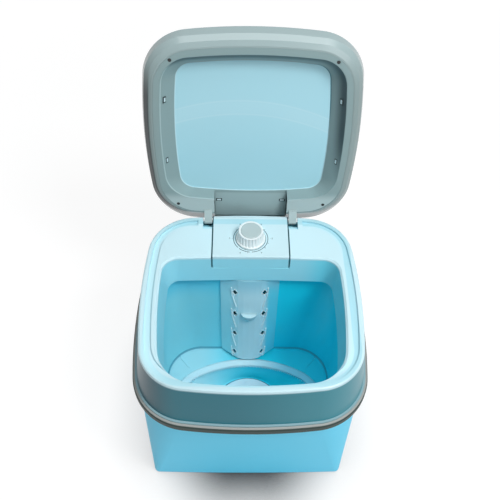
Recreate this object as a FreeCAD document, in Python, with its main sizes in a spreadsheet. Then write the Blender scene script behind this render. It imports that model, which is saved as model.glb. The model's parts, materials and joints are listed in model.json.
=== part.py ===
import FreeCAD, Part
import Sketcher
import math
import os

Vector = FreeCAD.Vector
Rotation = FreeCAD.Rotation
Placement = FreeCAD.Placement
UP = Vector(0, 0, 1)

doc = FreeCAD.newDocument("washing_machine")
sheet = doc.addObject("Spreadsheet::Sheet", "Sizes")

# Driving sizes in millimetres, degrees and counts. +Z is up, -Y is the front, the floor is z = 0.
DRIVING = [
    ("rim_height", 390, "top of the collar's rim above the floor"),
    ("rim_half_w", 170, "half the rim's width"),
    ("rim_half_d", 163, "half the rim's depth"),
    ("rim_corner", 74, "rim corner radius"),
    ("rim_bow", 850, "radius of the rim's bowed sides"),
    ("shell_wall", 3, "wall of the moulded shells"),
    ("fit_gap", 0.3, "gap between pieces that slip together"),
    ("run_gap", 0.03, "running clearance of a shaft in its bush, on the radius"),
    ("turn_gap", 0.4, "gap beside turning pieces"),
    ("skirt_drop", 87, "rim top to the foot of the collar's skirt"),
    ("skirt_flare", 11, "how far the skirt widens on each side"),
    ("flange_out", 13.5, "collar foot flange beyond the rim outline"),
    ("flange_thick", 3, "collar foot flange thickness"),
    ("top_plate", 8, "thickness of the rim and deck"),
    ("rim_fillet", 3, "rounding of the rim's outer edge"),
    ("ridge_width", 8, "outer ridge of the rim"),
    ("groove_width", 11.5, "lid groove beside the ridge"),
    ("groove_depth", 4, "lid groove depth"),
    ("mouth_half_w", 143, "half the funnel's width at the rim"),
    ("mouth_front", 151, "funnel front edge from the centre"),
    ("mouth_back", 74, "deck front edge from the centre"),
    ("mouth_front_r", 58, "funnel front corner radius"),
    ("mouth_back_r", 27, "funnel rear corner radius"),
    ("mouth_bow", 838, "bow radius of the funnel's sides"),
    ("mouth_back_bow", 3000, "bow radius of the deck's front edge"),
    ("mouth_draft", 6.5, "how far the funnel closes in at its foot"),
    ("mouth_drop", 55, "funnel depth below the rim"),
    ("mouth_wall", 2.5, "funnel wall"),
    ("mouth_fillet", 2.5, "rounding of the funnel's top edge"),
    ("band_out", 18, "trim band beyond the rim outline"),
    ("band_height", 18, "trim band height"),
    ("band_fillet", 5, "rounding of the trim band"),
    ("cab_out", 8.5, "cabinet top beyond the rim outline"),
    ("base_half_w", 174, "half the cabinet's width at the floor"),
    ("base_half_d", 137, "half the cabinet's depth at the floor"),
    ("base_corner", 10, "cabinet corner radius at the floor"),
    ("base_bow", 6000, "bow radius of the cabinet's foot"),
    ("foot_height", 3, "rubber foot ring height"),
    ("foot_inset", 4, "foot ring inside the cabinet outline"),
    ("foot_width", 9, "foot ring width"),
    ("tray_thick", 3, "base tray plate"),
    ("tray_lip", 14, "base tray lip height"),
    ("tray_lip_wall", 2, "base tray lip wall"),
    ("inner_corner", 4, "inner corner radius of the foot ring and tray lip"),
    ("boss_inset", 10.3, "tray screw boss from the cabinet's side"),
    ("boss_radius", 6.2, "tray screw boss radius"),
    ("boss_height", 34, "tray screw boss height"),
    ("screw_radius", 1.6, "self-tapping screw shank radius"),
    ("screw_head", 3.4, "screw head radius"),
    ("screw_head_h", 2, "screw head height"),
    ("screw_length", 14, "screw shank length"),
    ("tub_half_w", 154, "half the tub's inside width at the top"),
    ("tub_front", 154.2, "tub's inside front at the top"),
    ("tub_back", 80, "tub's inside back at the top"),
    ("tub_front_r", 66, "tub front corner radius"),
    ("tub_back_r", 40, "tub rear corner radius at the top"),
    ("tub_floor_r", 62, "tub rear corner radius at the floor"),
    ("tub_bow", 2600, "bow radius of the tub's sides"),
    ("tub_back_bow", 9000, "bow radius of the tub's back"),
    ("tub_draft_w", 4, "how far the tub narrows on each side"),
    ("tub_draft_front", 12.7, "how far the tub's front leans in"),
    ("tub_draft_back", 9.5, "how far the tub's back leans in"),
    ("tub_floor", 104, "tub floor above the ground"),
    ("tub_fillet", 5, "rounding between tub wall and floor"),
    ("ear_reach", 4, "tub ears beyond their screws"),
    ("ear_half_w", 7, "half the width of a tub ear"),
    ("ear_thick", 3, "tub ear thickness"),
    ("tub_screw_x", 160.6, "tub screws from the middle"),
    ("tub_screw_y", 62, "front tub screws ahead of the centre"),
    ("tub_screw_step", 80, "spacing of the tub screws along the side"),
    ("tub_screw_len", 6, "tub screw shank length"),
    ("axis_y", -43, "pulsator axis from the centre"),
    ("sump_half", 67, "half the pulsator recess's width at its bottom"),
    ("sump_corner", 60, "corner radius of the recess's bottom"),
    ("sump_bow", 75, "bow radius of the recess's bottom"),
    ("sump_depth", 32, "pulsator recess depth"),
    ("sump_floor", 6, "thickness under the pulsator recess"),
    ("ring_half_w", 138, "half the oval floor ring's width"),
    ("ring_half_d", 90, "half the oval floor ring's depth"),
    ("ring_end", 70, "end radius of the floor ring's oval"),
    ("ring_end_bow", 80, "radius at the very ends of the oval"),
    ("ring_bow", 210, "radius of the oval's long sides"),
    ("ring_width", 15, "floor ring width"),
    ("ring_bevel", 3, "floor ring outer bevel"),
    ("ring_sink", 2, "floor ring seat depth"),
    ("ring_thick", 3.5, "floor ring thickness"),
    ("column_half_w", 50, "half the filter column's width"),
    ("column_top", 333, "filter column top above the ground"),
    ("column_foot", 110.5, "filter column foot above the ground"),
    ("column_deep_top", 12, "filter column depth at the top"),
    ("column_deep_foot", 28, "filter column depth at the foot"),
    ("column_wall", 2.2, "filter column wall"),
    ("column_side", 3, "filter column depth at its outer edges"),
    ("heel_width", 16, "width of the filter column's heel"),
    ("heel_deep", 6, "front to back size of the heel"),
    ("column_flank", 26, "half width of the column's bulging middle"),
    ("column_hole_x", 25, "column holes from the middle"),
    ("column_hole_z", 126.5, "lowest column holes above the ground"),
    ("column_pitch", 58, "spacing of the column's hole rows"),
    ("column_rows", 4, "hole rows"),
    ("hole_half_w", 4.6, "half width of a column hole"),
    ("hole_half_h", 7.5, "half height of a column hole"),
    ("latch_z", 238, "filter latch height"),
    ("latch_half_w", 11, "half the latch's width"),
    ("latch_tall", 16, "latch height"),
    ("latch_out", 5, "latch depth"),
    ("shaft_radius", 6, "main shaft radius"),
    ("housing_radius", 14, "bearing housing barrel radius"),
    ("housing_low", 50, "bearing housing foot above the ground"),
    ("housing_flange", 36, "bearing housing flange radius"),
    ("housing_flange_h", 4, "bearing housing flange thickness"),
    ("housing_nose", 11, "bearing housing nose radius"),
    ("housing_bore", 9, "bearing housing bore radius"),
    ("housing_screw_r", 28, "bearing housing screw circle radius"),
    ("gasket_thick", 1.5, "housing gasket"),
    ("bush_length", 8, "shaft bush length"),
    ("pulsator_radius", 62, "pulsator radius"),
    ("pulsator_hub", 20, "pulsator hub radius"),
    ("pulsator_rise", 16, "pulsator hub height over the sump floor"),
    ("pulsator_vanes", 4, "pulsator vanes"),
    ("cap_radius", 15, "pulsator cap radius"),
    ("pulley_radius", 70, "driven pulley radius"),
    ("pulley_groove", 4, "pulley groove depth"),
    ("pulley_low", 28, "pulleys' underside above the ground"),
    ("pulley_width", 14, "pulley width"),
    ("pulley_hub", 13, "driven pulley hub radius"),
    ("motor_pulley_radius", 19, "motor pulley radius"),
    ("belt_width", 9, "belt width"),
    ("belt_thick", 3.2, "belt thickness"),
    ("nut_radius", 9, "pulley nut radius"),
    ("nut_height", 7, "pulley nut height"),
    ("motor_x", -52, "motor axis, sideways"),
    ("motor_y", 108, "motor axis, behind the centre"),
    ("motor_radius", 32, "motor radius"),
    ("stator_height", 46, "stator stack height"),
    ("shield_height", 21, "motor end shield height"),
    ("shield_wall", 2.5, "motor end shield wall"),
    ("rotor_radius", 22, "rotor radius"),
    ("air_gap", 0.5, "rotor to stator"),
    ("motor_shaft_radius", 4, "motor shaft radius"),
    ("motor_bolt_radius", 1.5, "motor through bolt radius"),
    ("motor_bolt_circle", 28.5, "motor through bolts from the axis"),
    ("bracket_z", 58, "motor bracket above the ground"),
    ("bracket_thick", 3, "motor bracket plate"),
    ("bracket_half_x", 58, "half the bracket's width"),
    ("bracket_half_y", 26, "half the bracket's depth"),
    ("post_half_x", 50, "bracket posts from the motor axis, sideways"),
    ("post_half_y", 18, "bracket posts from the motor axis, front to back"),
    ("post_radius", 6, "bracket post radius"),
    ("bush_thick", 3, "rubber bush thickness"),
    ("can_x", 104, "capacitor, sideways"),
    ("can_y", 110, "capacitor, behind the centre"),
    ("can_radius", 16, "capacitor radius"),
    ("can_height", 62, "capacitor height"),
    ("clamp_thick", 2, "capacitor clamp wall"),
    ("clamp_height", 14, "capacitor clamp height"),
    ("drain_x", 24, "drain, sideways"),
    ("drain_z", 132, "tub drain above the ground"),
    ("drain_bore", 8.5, "drain bore radius"),
    ("drain_nipple", 11, "drain nipple radius"),
    ("drain_nipple_l", 15, "drain nipple length"),
    ("hose_wall", 2.5, "drain elbow wall"),
    ("hose_bend", 17, "drain elbow bend radius"),
    ("hose_y", 108, "drain elbow's upright run"),
    ("outlet_z", 62, "drain outlet above the ground"),
    ("outlet_in", 128, "drain outlet's inner end"),
    ("outlet_out", 169, "drain outlet's outer end"),
    ("gland_x", -118, "cord gland, sideways"),
    ("gland_z", 62, "cord gland above the ground"),
    ("gland_neck", 8, "cord gland neck radius"),
    ("gland_flange", 11, "cord gland flange radius"),
    ("gland_bore", 3.6, "cord gland bore radius"),
    ("panel_half_w", 62, "half the control panel's width"),
    ("panel_gap", 1.3, "gap beside the control panel"),
    ("panel_thick", 3.2, "control panel thickness"),
    ("panel_back", 157, "control panel's rear edge"),
    ("panel_drop", 26, "control panel's drop over the deck's front"),
    ("knob_y", 112, "timer knob, behind the centre"),
    ("knob_radius", 24, "timer knob radius at its foot"),
    ("knob_top_r", 20, "timer knob radius at the top"),
    ("knob_height", 20, "timer knob height"),
    ("knob_flutes", 18, "timer knob flutes"),
    ("knob_cap_r", 16.5, "knob cap radius"),
    ("knob_cap_h", 1.6, "knob cap thickness"),
    ("spindle_radius", 3, "timer spindle radius"),
    ("timer_radius", 22, "timer body radius"),
    ("timer_height", 32, "timer body height"),
    ("timer_screw_x", 16, "timer screws from the spindle"),
    ("wire_radius", 3, "wiring sheath radius"),
    ("wire_x", -14, "wiring at the timer"),
    ("wire_bend", 16, "wiring bend radius"),
    ("hinge_y", 152.6, "hinge axis, behind the centre"),
    ("hinge_sink", 4.1, "hinge axis below the rim top"),
    ("hinge_pin", 2, "hinge pin radius"),
    ("hinge_gap", 0.1, "hinge pin clearance on the radius"),
    ("lug_in", 64, "hinge lug's inner side"),
    ("lug_out", 77, "hinge lug's outer side"),
    ("lug_radius", 5, "hinge lug radius round the pin"),
    ("notch_out", 79, "hinge notch's outer side"),
    ("notch_front", 132.4, "hinge notch's front"),
    ("notch_step", 141, "where the hinge notch deepens"),
    ("notch_shallow", 5.6, "hinge notch depth ahead of that step"),
    ("notch_depth", 17, "hinge notch depth"),
    ("notch_wall", 8, "wall beside the hinge notch that holds the pin"),
    ("lid_open", 101.4, "lid's angle from closed in the photographed pose"),
    ("lid_half_w", 168.3, "half the lid's width"),
    ("lid_half_d", 170.8, "half the lid's depth"),
    ("lid_corner", 75, "lid corner radius"),
    ("lid_bow", 863, "bow radius of the lid's sides"),
    ("lid_rest", 0.8, "closed lid above the rim"),
    ("lid_belt", 24, "lid's widest line above the rim"),
    ("lid_top", 34, "lid's top above the rim"),
    ("lid_top_inset", 9, "lid's top edge inside its widest line"),
    ("crest_half_w", 153, "half the lid's width at its lower edge"),
    ("crest_front", 152, "lid's lower edge at the front"),
    ("crest_back", 142.5, "lid's lower edge at the back"),
    ("crest_corner", 62, "corner radius of the lid's lower edge"),
    ("lid_wall", 2.6, "lid shell wall"),
    ("frame_half_w", 141, "half the lid frame's opening at its lower edge"),
    ("frame_front", 139, "lid frame's opening at the front, lower edge"),
    ("frame_back", 114, "lid frame's opening at the back, lower edge"),
    ("frame_corner", 46, "lid frame's lower corner radius"),
    ("frame_wall", 2.6, "lid frame wall"),
    ("window_half_w", 119, "half the window's clear width"),
    ("window_front", 119, "window's clear front edge"),
    ("window_back", 109, "window's clear back edge"),
    ("window_corner", 24, "window corner radius"),
    ("window_lap", 5, "window edge under the shell"),
    ("window_thick", 3, "window pane"),
    ("window_z", 26, "window's underside above the rim"),
    ("notch_half_w", 60, "half the width of the lid frame's rear gap"),
    ("lid_screw_x", 119.5, "lid screws from the middle"),
    ("lid_screw_front", 129.4, "front lid screws ahead of the centre"),
    ("lid_screw_back", 120.6, "rear lid screws behind the centre"),
    ("lid_screw_r", 1.3, "lid screw shank radius"),
    ("lid_screw_head", 2.6, "lid screw head radius"),
    ("lid_screw_head_h", 1.6, "lid screw head height"),
    ("lid_screw_len", 12, "lid screw shank length"),
    ("lid_boss", 3.2, "lid screw boss radius"),
    ("clip_half_w", 5, "half the width of a window clip"),
    ("clip_low", 6.4, "side clips above the rim"),
    ("clip_tall", 4, "side clip height"),
    ("clip_in", 132.2, "side clips' inner face from the middle"),
    ("clip_long", 9, "side clip length through the wall"),
    ("clip_front_y", -64, "front side clips"),
    ("clip_back_y", 41, "rear side clips"),
    ("clip_rear_x", 53, "rear clips from the middle"),
    ("clip_rear_y", 126, "rear clips behind the centre"),
    ("clip_rear_t", 3, "rear clip thickness"),
    ("tongue_back", 160, "rear edge of the lid frame's tongue"),
    ("tongue_thick", 3, "tongue thickness"),
]

for row, (name, value, note) in enumerate(DRIVING, start=1):
    sheet.set("A%d" % row, note)
    sheet.set("B%d" % row, str(value))
    sheet.setAlias("B%d" % row, name)
doc.recompute()


class Size:
    """A number together with the spreadsheet expression that it comes from."""

    def __init__(self, value, text):
        self.value = float(value)
        self.text = text

    def __add__(self, other):
        return join(self, other, "+")

    def __radd__(self, other):
        return join(other, self, "+")

    def __sub__(self, other):
        return join(self, other, "-")

    def __rsub__(self, other):
        return join(other, self, "-")

    def __mul__(self, other):
        return join(self, other, "*")

    def __rmul__(self, other):
        return join(other, self, "*")

    def __truediv__(self, other):
        return join(self, other, "/")

    def __neg__(self):
        return Size(-self.value, "(-%s)" % self.text)


def as_size(item):
    return item if isinstance(item, Size) else Size(item, "(%r)" % float(item))


def join(left, right, sign):
    left = as_size(left)
    right = as_size(right)
    values = {
        "+": left.value + right.value,
        "-": left.value - right.value,
        "*": left.value * right.value,
        "/": left.value / right.value if right.value else 0.0,
    }
    return Size(values[sign], "(%s %s %s)" % (left.text, sign, right.text))


class Sizes:
    """Every named cell of the sheet as a Size."""


S = Sizes()
for name, value, note in DRIVING:
    setattr(S, name, Size(value, "Sizes.%s" % name))

# Heights that several pieces share.
Z_SKIRT = S.rim_height - S.skirt_drop
Z_PLATE = S.rim_height - S.top_plate
Z_FUNNEL = S.rim_height - S.mouth_drop
Z_BAND = Z_SKIRT - S.band_height
Z_TRAY = S.foot_height + S.tray_thick
Z_SUMP = S.tub_floor - S.sump_depth
Z_SUMP_UNDER = Z_SUMP - S.sump_floor
Z_FLANGE = Z_SUMP_UNDER - S.gasket_thick
Z_HINGE = S.rim_height - S.hinge_sink
Z_SHIELD = S.bracket_z + S.bracket_thick
Z_STATOR = Z_SHIELD + S.shield_height
Z_UPPER = Z_STATOR + S.stator_height
Z_MOTOR_TOP = Z_UPPER + S.shield_height
NODES = []


def new_body(label, x=0, y=0, z=0, turn=None):
    """A body whose own origin sits at x, y, z, turned if a rotation is given."""
    body = doc.addObject("PartDesign::Body", label)
    body.Label = label
    place = [as_size(x), as_size(y), as_size(z)]
    body.Placement = Placement(Vector(*[p.value for p in place]), turn or Rotation())
    for axis, item in zip("xyz", place):
        body.setExpression("Placement.Base.%s" % axis, item.text)
    NODES.append(body)
    return body


def origin_part(body, role):
    for item in body.Origin.OriginFeatures:
        if item.Role == role:
            return item
    raise ValueError(role)


def attach(item, body, role, x=0, y=0, z=0):
    """Put a sketch or primitive on an origin plane, moved by x, y, z in that plane's own axes."""
    item.AttachmentSupport = [(origin_part(body, role), "")]
    item.MapMode = "FlatFace"
    for axis, value in zip("xyz", (x, y, z)):
        item.setExpression("AttachmentOffset.Base.%s" % axis, as_size(value).text)
    moved = [as_size(v).value for v in (x, y, z)]
    item.AttachmentOffset = Placement(Vector(*moved), Rotation())


def sketch(body, role="XY_Plane", x=0, y=0, z=0):
    item = body.newObject("Sketcher::SketchObject", "%s_sketch" % body.Label)
    attach(item, body, role, x, y, z)
    return item


def set_size(sk, constraint, size):
    """Add a dimension and tie it to the sheet."""
    index = sk.addConstraint(constraint)
    if "Sizes." in size.text:
        sk.setExpression("Constraints[%d]" % index, size.text)


def pin_point(sk, geo, pos, x, y):
    """Hold one point of a sketch at x, y from the sketch's origin."""
    for item, kind, axis in ((as_size(x), "DistanceX", -2), (as_size(y), "DistanceY", -1)):
        if item.text == "(0.0)":
            sk.addConstraint(Sketcher.Constraint("PointOnObject", geo, pos, axis))
        else:
            set_size(sk, Sketcher.Constraint(kind, -1, 1, geo, pos, item.value), item)


def polygon(sk, points):
    """A closed polygon with every corner dimensioned."""
    flat = [Vector(as_size(x).value, as_size(y).value, 0) for x, y in points]
    count = len(flat)
    first = sk.GeometryCount
    for i in range(count):
        sk.addGeometry(Part.LineSegment(flat[i], flat[(i + 1) % count]), False)
    for i in range(count):
        nxt = first + (i + 1) % count
        sk.addConstraint(Sketcher.Constraint("Coincident", first + i, 2, nxt, 1))
    for i, (x, y) in enumerate(points):
        pin_point(sk, first + i, 1, x, y)
    return sk


def rectangle(sk, x0, y0, x1, y1):
    return polygon(sk, [(x0, y0), (x1, y0), (x1, y1), (x0, y1)])


def circle(sk, radius, x=0, y=0):
    radius = as_size(radius)
    centre = Vector(as_size(x).value, as_size(y).value, 0)
    geo = sk.addGeometry(Part.Circle(centre, UP, radius.value), False)
    set_size(sk, Sketcher.Constraint("Radius", geo, radius.value), radius)
    pin_point(sk, geo, 3, x, y)
    return sk


def meet(c0, r0, c1, r1, toward):
    """The crossing of two circles that lies nearer to a point."""
    d = c1 - c0
    dist = d.Length
    along = (r0 * r0 - r1 * r1 + dist * dist) / (2 * dist)
    height = math.sqrt(max(r0 * r0 - along * along, 0.0))
    unit = d / dist
    base = c0 + unit * along
    side = Vector(-unit.y, unit.x, 0) * height
    picks = [base + side, base - side]
    return min(picks, key=lambda p: (p - toward).Length)


def outline(sk, half_w, front, back, front_r, back_r, bow, front_bow, back_bow):
    """A rounded square with bowed sides, drawn as eight tangent arcs about the sketch's origin."""
    w, f, b, rf, rb, side, fb, bb = [
        as_size(v) for v in (half_w, front, back, front_r, back_r, bow, front_bow, back_bow)]
    centres = {
        "right": Vector(w.value - side.value, 0, 0),
        "left": Vector(side.value - w.value, 0, 0),
        "back": Vector(0, b.value - bb.value, 0),
        "front": Vector(0, fb.value - f.value, 0),
    }
    radii = {"right": side.value, "left": side.value, "back": bb.value, "front": fb.value}
    corners = {}
    for x_name, y_name, sx, sy, radius in (
            ("right", "back", 1, 1, rb.value), ("left", "back", -1, 1, rb.value),
            ("left", "front", -1, -1, rf.value), ("right", "front", 1, -1, rf.value)):
        near = Vector(sx * (w.value - radius), (b.value - radius) if sy > 0 else (radius - f.value), 0)
        corners[x_name, y_name] = (
            meet(centres[x_name], radii[x_name] - radius, centres[y_name], radii[y_name] - radius, near),
            radius)

    def touch(side_name, corner):
        away = corners[corner][0] - centres[side_name]
        return centres[side_name] + away / away.Length * radii[side_name]

    ring = [
        ("right", ("right", "front"), ("right", "back")),
        (("right", "back"), "right", "back"),
        ("back", ("right", "back"), ("left", "back")),
        (("left", "back"), "back", "left"),
        ("left", ("left", "back"), ("left", "front")),
        (("left", "front"), "left", "front"),
        ("front", ("left", "front"), ("right", "front")),
        (("right", "front"), "front", "right"),
    ]
    first = sk.GeometryCount
    for item, start, end in ring:
        if isinstance(item, str):
            centre, radius = centres[item], radii[item]
            a, z = touch(item, start), touch(item, end)
        else:
            centre, radius = corners[item]
            a, z = touch(start, item), touch(end, item)
        angle_a = math.atan2(a.y - centre.y, a.x - centre.x)
        angle_z = math.atan2(z.y - centre.y, z.x - centre.x)
        full = Part.Circle(centre, UP, radius)
        sk.addGeometry(Part.ArcOfCircle(full, angle_a, angle_z), False)
    right, back_right, rear, back_left, left, front_left, ahead, front_right = range(first, first + 8)
    for i in range(8):
        nxt = first + (i + 1) % 8
        sk.addConstraint(Sketcher.Constraint("Tangent", first + i, 2, nxt, 1))
    pin_point(sk, right, 3, w - side, 0)
    pin_point(sk, left, 3, side - w, 0)
    pin_point(sk, rear, 3, 0, b - bb)
    pin_point(sk, ahead, 3, 0, fb - f)
    for geo, size in ((right, side), (rear, bb), (ahead, fb), (back_right, rb), (front_right, rf)):
        set_size(sk, Sketcher.Constraint("Radius", geo, size.value), size)
    for one, two in ((right, left), (back_right, back_left), (front_right, front_left)):
        sk.addConstraint(Sketcher.Constraint("Equal", one, two))
    return sk


def rim_outline(sk, out=0):
    """The rim's outline, offset outwards."""
    half_d = S.rim_half_d + out
    corner = S.rim_corner + out
    bow = S.rim_bow + out
    return outline(sk, S.rim_half_w + out, half_d, half_d, corner, corner, bow, bow, bow)


def base_outline(sk, out=0, corner=None):
    """The cabinet's outline at the floor, offset outwards, with its own corner radius if one is given."""
    half_d = S.base_half_d + out
    corner = corner or S.base_corner + out
    bow = S.base_bow + out
    return outline(sk, S.base_half_w + out, half_d, half_d, corner, corner, bow, bow, bow)


def mouth_outline(sk, out=0):
    """The funnel's outline at the rim, offset outwards."""
    return outline(
        sk, S.mouth_half_w + out, S.mouth_front + out, S.mouth_back + out,
        S.mouth_front_r + out, S.mouth_back_r + out,
        S.mouth_bow + out, S.mouth_bow + out, S.mouth_back_bow + out)


def tub_outline(sk, z, out=0):
    """The tub's inside outline at height z, offset outwards."""
    lean = (Z_PLATE - z) / (Z_PLATE - S.tub_floor)
    return outline(
        sk, S.tub_half_w - S.tub_draft_w * lean + out, S.tub_front - S.tub_draft_front * lean + out,
        S.tub_back - S.tub_draft_back * lean + out, S.tub_front_r + out,
        S.tub_back_r + (S.tub_floor_r - S.tub_back_r) * lean + out,
        S.tub_bow + out, S.tub_bow + out, S.tub_back_bow + out)


def ring_outline(sk, out=0):
    """The floor ring's oval, offset outwards."""
    half_d = S.ring_half_d + out
    end = S.ring_end + out
    bow = S.ring_bow + out
    return outline(sk, S.ring_half_w + out, half_d, half_d, end, end, S.ring_end_bow + out, bow, bow)


def sump_outline(sk, out=0):
    """The bottom of the pulsator's recess, offset outwards."""
    half = S.sump_half + out
    corner = S.sump_corner + out
    bow = S.sump_bow + out
    return outline(sk, half, half, half, corner, corner, bow, bow, bow)


def feature(body, kind, name, **links):
    item = body.newObject("PartDesign::%s" % kind, "%s_%s" % (body.Label, name))
    for key, value in links.items():
        setattr(item, key, value)
    item.Refine = False
    return item


def pad(body, sk, length, reverse=False, symmetric=False, cut=False):
    item = feature(body, "Pocket" if cut else "Pad", "pocket" if cut else "pad", Profile=sk)
    size = as_size(length)
    item.Length = size.value
    item.setExpression("Length", size.text)
    item.Reversed = reverse
    if symmetric:
        item.SideType = "Symmetric"
    return item


def pocket(body, sk, length, reverse=False, symmetric=False):
    return pad(body, sk, length, reverse, symmetric, cut=True)


def loft(body, low, *highs, cut=False):
    item = feature(body, "SubtractiveLoft" if cut else "AdditiveLoft", "loft", Profile=low)
    item.Sections = list(highs)
    item.Ruled = True
    return item


def revolve(body, points, cut=False, y=0):
    """Turn a profile of (radius, height) corners round an upright axis at x = 0 and the given y."""
    sk = polygon(sketch(body, "XZ_Plane", z=-as_size(y)), points)
    item = feature(body, "Groove" if cut else "Revolution", "turned", Profile=sk)
    item.ReferenceAxis = (sk, ["V_Axis"])
    item.Angle = 360
    return item


def cylinder(body, radius, height, x=0, y=0, z=0, role="XY_Plane", cut=False):
    kind = "SubtractiveCylinder" if cut else "AdditiveCylinder"
    item = feature(body, kind, "cylinder")
    attach(item, body, role, x, y, z)
    for name, value in (("Radius", as_size(radius)), ("Height", as_size(height))):
        setattr(item, name, value.value)
        item.setExpression(name, value.text)
    return item


def cylinder_y(body, radius, y0, y1, x=0, z=0, cut=False):
    """A cylinder along Y from y0 to y1."""
    return cylinder(body, radius, as_size(y1) - y0, x, z, -as_size(y1), "XZ_Plane", cut)


def cylinder_x(body, radius, x0, x1, y=0, z=0, cut=False):
    """A cylinder along X from x0 to x1."""
    return cylinder(body, radius, as_size(x1) - x0, y, z, x0, "YZ_Plane", cut)


def box(body, x0, y0, z0, x1, y1, z1, cut=False):
    """A block between two opposite corners."""
    item = feature(body, "SubtractiveBox" if cut else "AdditiveBox", "block")
    attach(item, body, "XY_Plane", x0, y0, z0)
    for name, low, high in (("Length", x0, x1), ("Width", y0, y1), ("Height", z0, z1)):
        size = as_size(high) - low
        setattr(item, name, size.value)
        item.setExpression(name, size.text)
    return item


def row(body, originals, axis, step, count):
    item = feature(body, "LinearPattern", "row", Originals=list(originals))
    item.Direction = (origin_part(body, axis), [""])
    item.Mode = "Spacing"
    item.Occurrences = int(as_size(count).value)
    item.setExpression("Offset", as_size(step).text)
    if isinstance(count, Size):
        item.setExpression("Occurrences", count.text)
    body.Tip = item
    return item


def ring_of(body, originals, count):
    item = feature(body, "PolarPattern", "ring", Originals=list(originals))
    item.Axis = (origin_part(body, "Z_Axis"), [""])
    item.Angle = 360
    item.Occurrences = int(as_size(count).value)
    if isinstance(count, Size):
        item.setExpression("Occurrences", count.text)
    body.Tip = item
    return item


def fillet(body, radius, wanted):
    """Round the edges of the body so far that the test picks."""
    doc.recompute()
    tip = body.Tip
    names = ["Edge%d" % (i + 1) for i, edge in enumerate(tip.Shape.Edges) if wanted(edge)]
    item = feature(body, "Fillet", "fillet")
    item.Base = (tip, names)
    size = as_size(radius)
    item.Radius = size.value
    item.setExpression("Radius", size.text)
    return item


def level_edge(z, keep=None):
    """A test for edges that lie at height z and whose box passes a second test."""
    height = as_size(z).value

    def test(edge):
        box = edge.BoundBox
        level = abs(box.ZMin - height) < 0.01 and abs(box.ZMax - height) < 0.01
        return level and (keep is None or keep(box))
    return test


def corners(x, y):
    """The four places at plus and minus x and y."""
    return [(sx * x, sy * y) for sx in (-1, 1) for sy in (-1, 1)]


def posts():
    """The motor bracket's four posts."""
    return [(S.motor_x + x, S.motor_y + y) for x, y in corners(S.post_half_x, S.post_half_y)]


def on_circle(radius, count, start=45):
    """Places spread evenly round a circle."""
    places = []
    for i in range(count):
        angle = math.radians(start + 360 * i / count)
        places.append((radius * math.cos(angle), radius * math.sin(angle)))
    return places


TRAY_CORNERS = corners(S.base_half_w - S.boss_inset, S.base_half_d - S.boss_inset)
TUB_SCREWS = [(side * S.tub_screw_x, y) for side in (-1, 1)
              for y in (-S.tub_screw_y, S.tub_screw_step - S.tub_screw_y)]


# Cabinet, base and trim

def make_foot_ring():
    body = new_body("foot_ring")
    sk = base_outline(sketch(body), -S.foot_inset)
    base_outline(sk, -(S.foot_inset + S.foot_width), S.inner_corner)
    pad(body, sk, S.foot_height)


def make_base_tray():
    body = new_body("base_tray")
    edge = -(S.shell_wall + S.fit_gap)
    pad(body, base_outline(sketch(body, z=S.foot_height), edge), S.tray_thick)
    lip = base_outline(sketch(body, z=Z_TRAY), edge)
    base_outline(lip, edge - S.tray_lip_wall, S.inner_corner)
    pad(body, lip, S.tray_lip)
    for x, y in TRAY_CORNERS:
        cylinder(body, S.boss_radius + S.fit_gap, S.tray_lip, x, y, Z_TRAY, cut=True)
        cylinder(body, S.screw_head + S.fit_gap, S.screw_head_h, x, y, S.foot_height, cut=True)
        cylinder(body, S.screw_radius, S.tray_thick, x, y, S.foot_height, cut=True)
    post_top = S.bracket_z - S.bush_thick
    for x, y in posts():
        cylinder(body, S.post_radius, post_top - Z_TRAY, x, y, Z_TRAY)
        cylinder(body, S.screw_radius, S.screw_length, x, y, post_top - S.screw_length, cut=True)


def make_tray_screws():
    body = new_body("tray_screws")
    for x, y in TRAY_CORNERS:
        cylinder(body, S.screw_head, S.screw_head_h, x, y, S.foot_height)
        cylinder(body, S.screw_radius, S.screw_length, x, y, S.foot_height + S.screw_head_h)


def make_cabinet():
    body = new_body("cabinet")
    low = base_outline(sketch(body, z=S.foot_height))
    high = rim_outline(sketch(body, z=Z_SKIRT), S.cab_out)
    loft(body, low, high)
    low_in = base_outline(sketch(body, z=S.foot_height), -S.shell_wall)
    high_in = rim_outline(sketch(body, z=Z_SKIRT), S.cab_out - S.shell_wall)
    loft(body, low_in, high_in, cut=True)
    for x, y in TRAY_CORNERS:
        cylinder(body, S.boss_radius, S.boss_height, x, y, Z_TRAY)
        cylinder(body, S.screw_radius, S.screw_length, x, y, Z_TRAY, cut=True)
    cylinder_y(body, S.drain_nipple + S.fit_gap, S.outlet_in, S.outlet_out, S.drain_x, S.outlet_z, cut=True)
    cylinder_y(body, S.gland_neck, S.outlet_in, S.outlet_out, S.gland_x, S.gland_z, cut=True)


def make_trim_band():
    body = new_body("trim_band")
    pad(body, rim_outline(sketch(body, z=Z_BAND), S.band_out), S.band_height)
    reach_x = (S.rim_half_w + S.cab_out).value + 1
    reach_y = (S.rim_half_d + S.cab_out).value + 1

    def outer(box):
        return max(-box.XMin, box.XMax) > reach_x or max(-box.YMin, box.YMax) > reach_y
    low = level_edge(Z_BAND, outer)
    high = level_edge(Z_SKIRT, outer)
    fillet(body, S.band_fillet, lambda edge: low(edge) or high(edge))
    loft(body, base_outline(sketch(body, z=S.foot_height), S.fit_gap),
         rim_outline(sketch(body, z=Z_SKIRT), S.cab_out + S.fit_gap), cut=True)


# Collar with rim, deck and funnel

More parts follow.
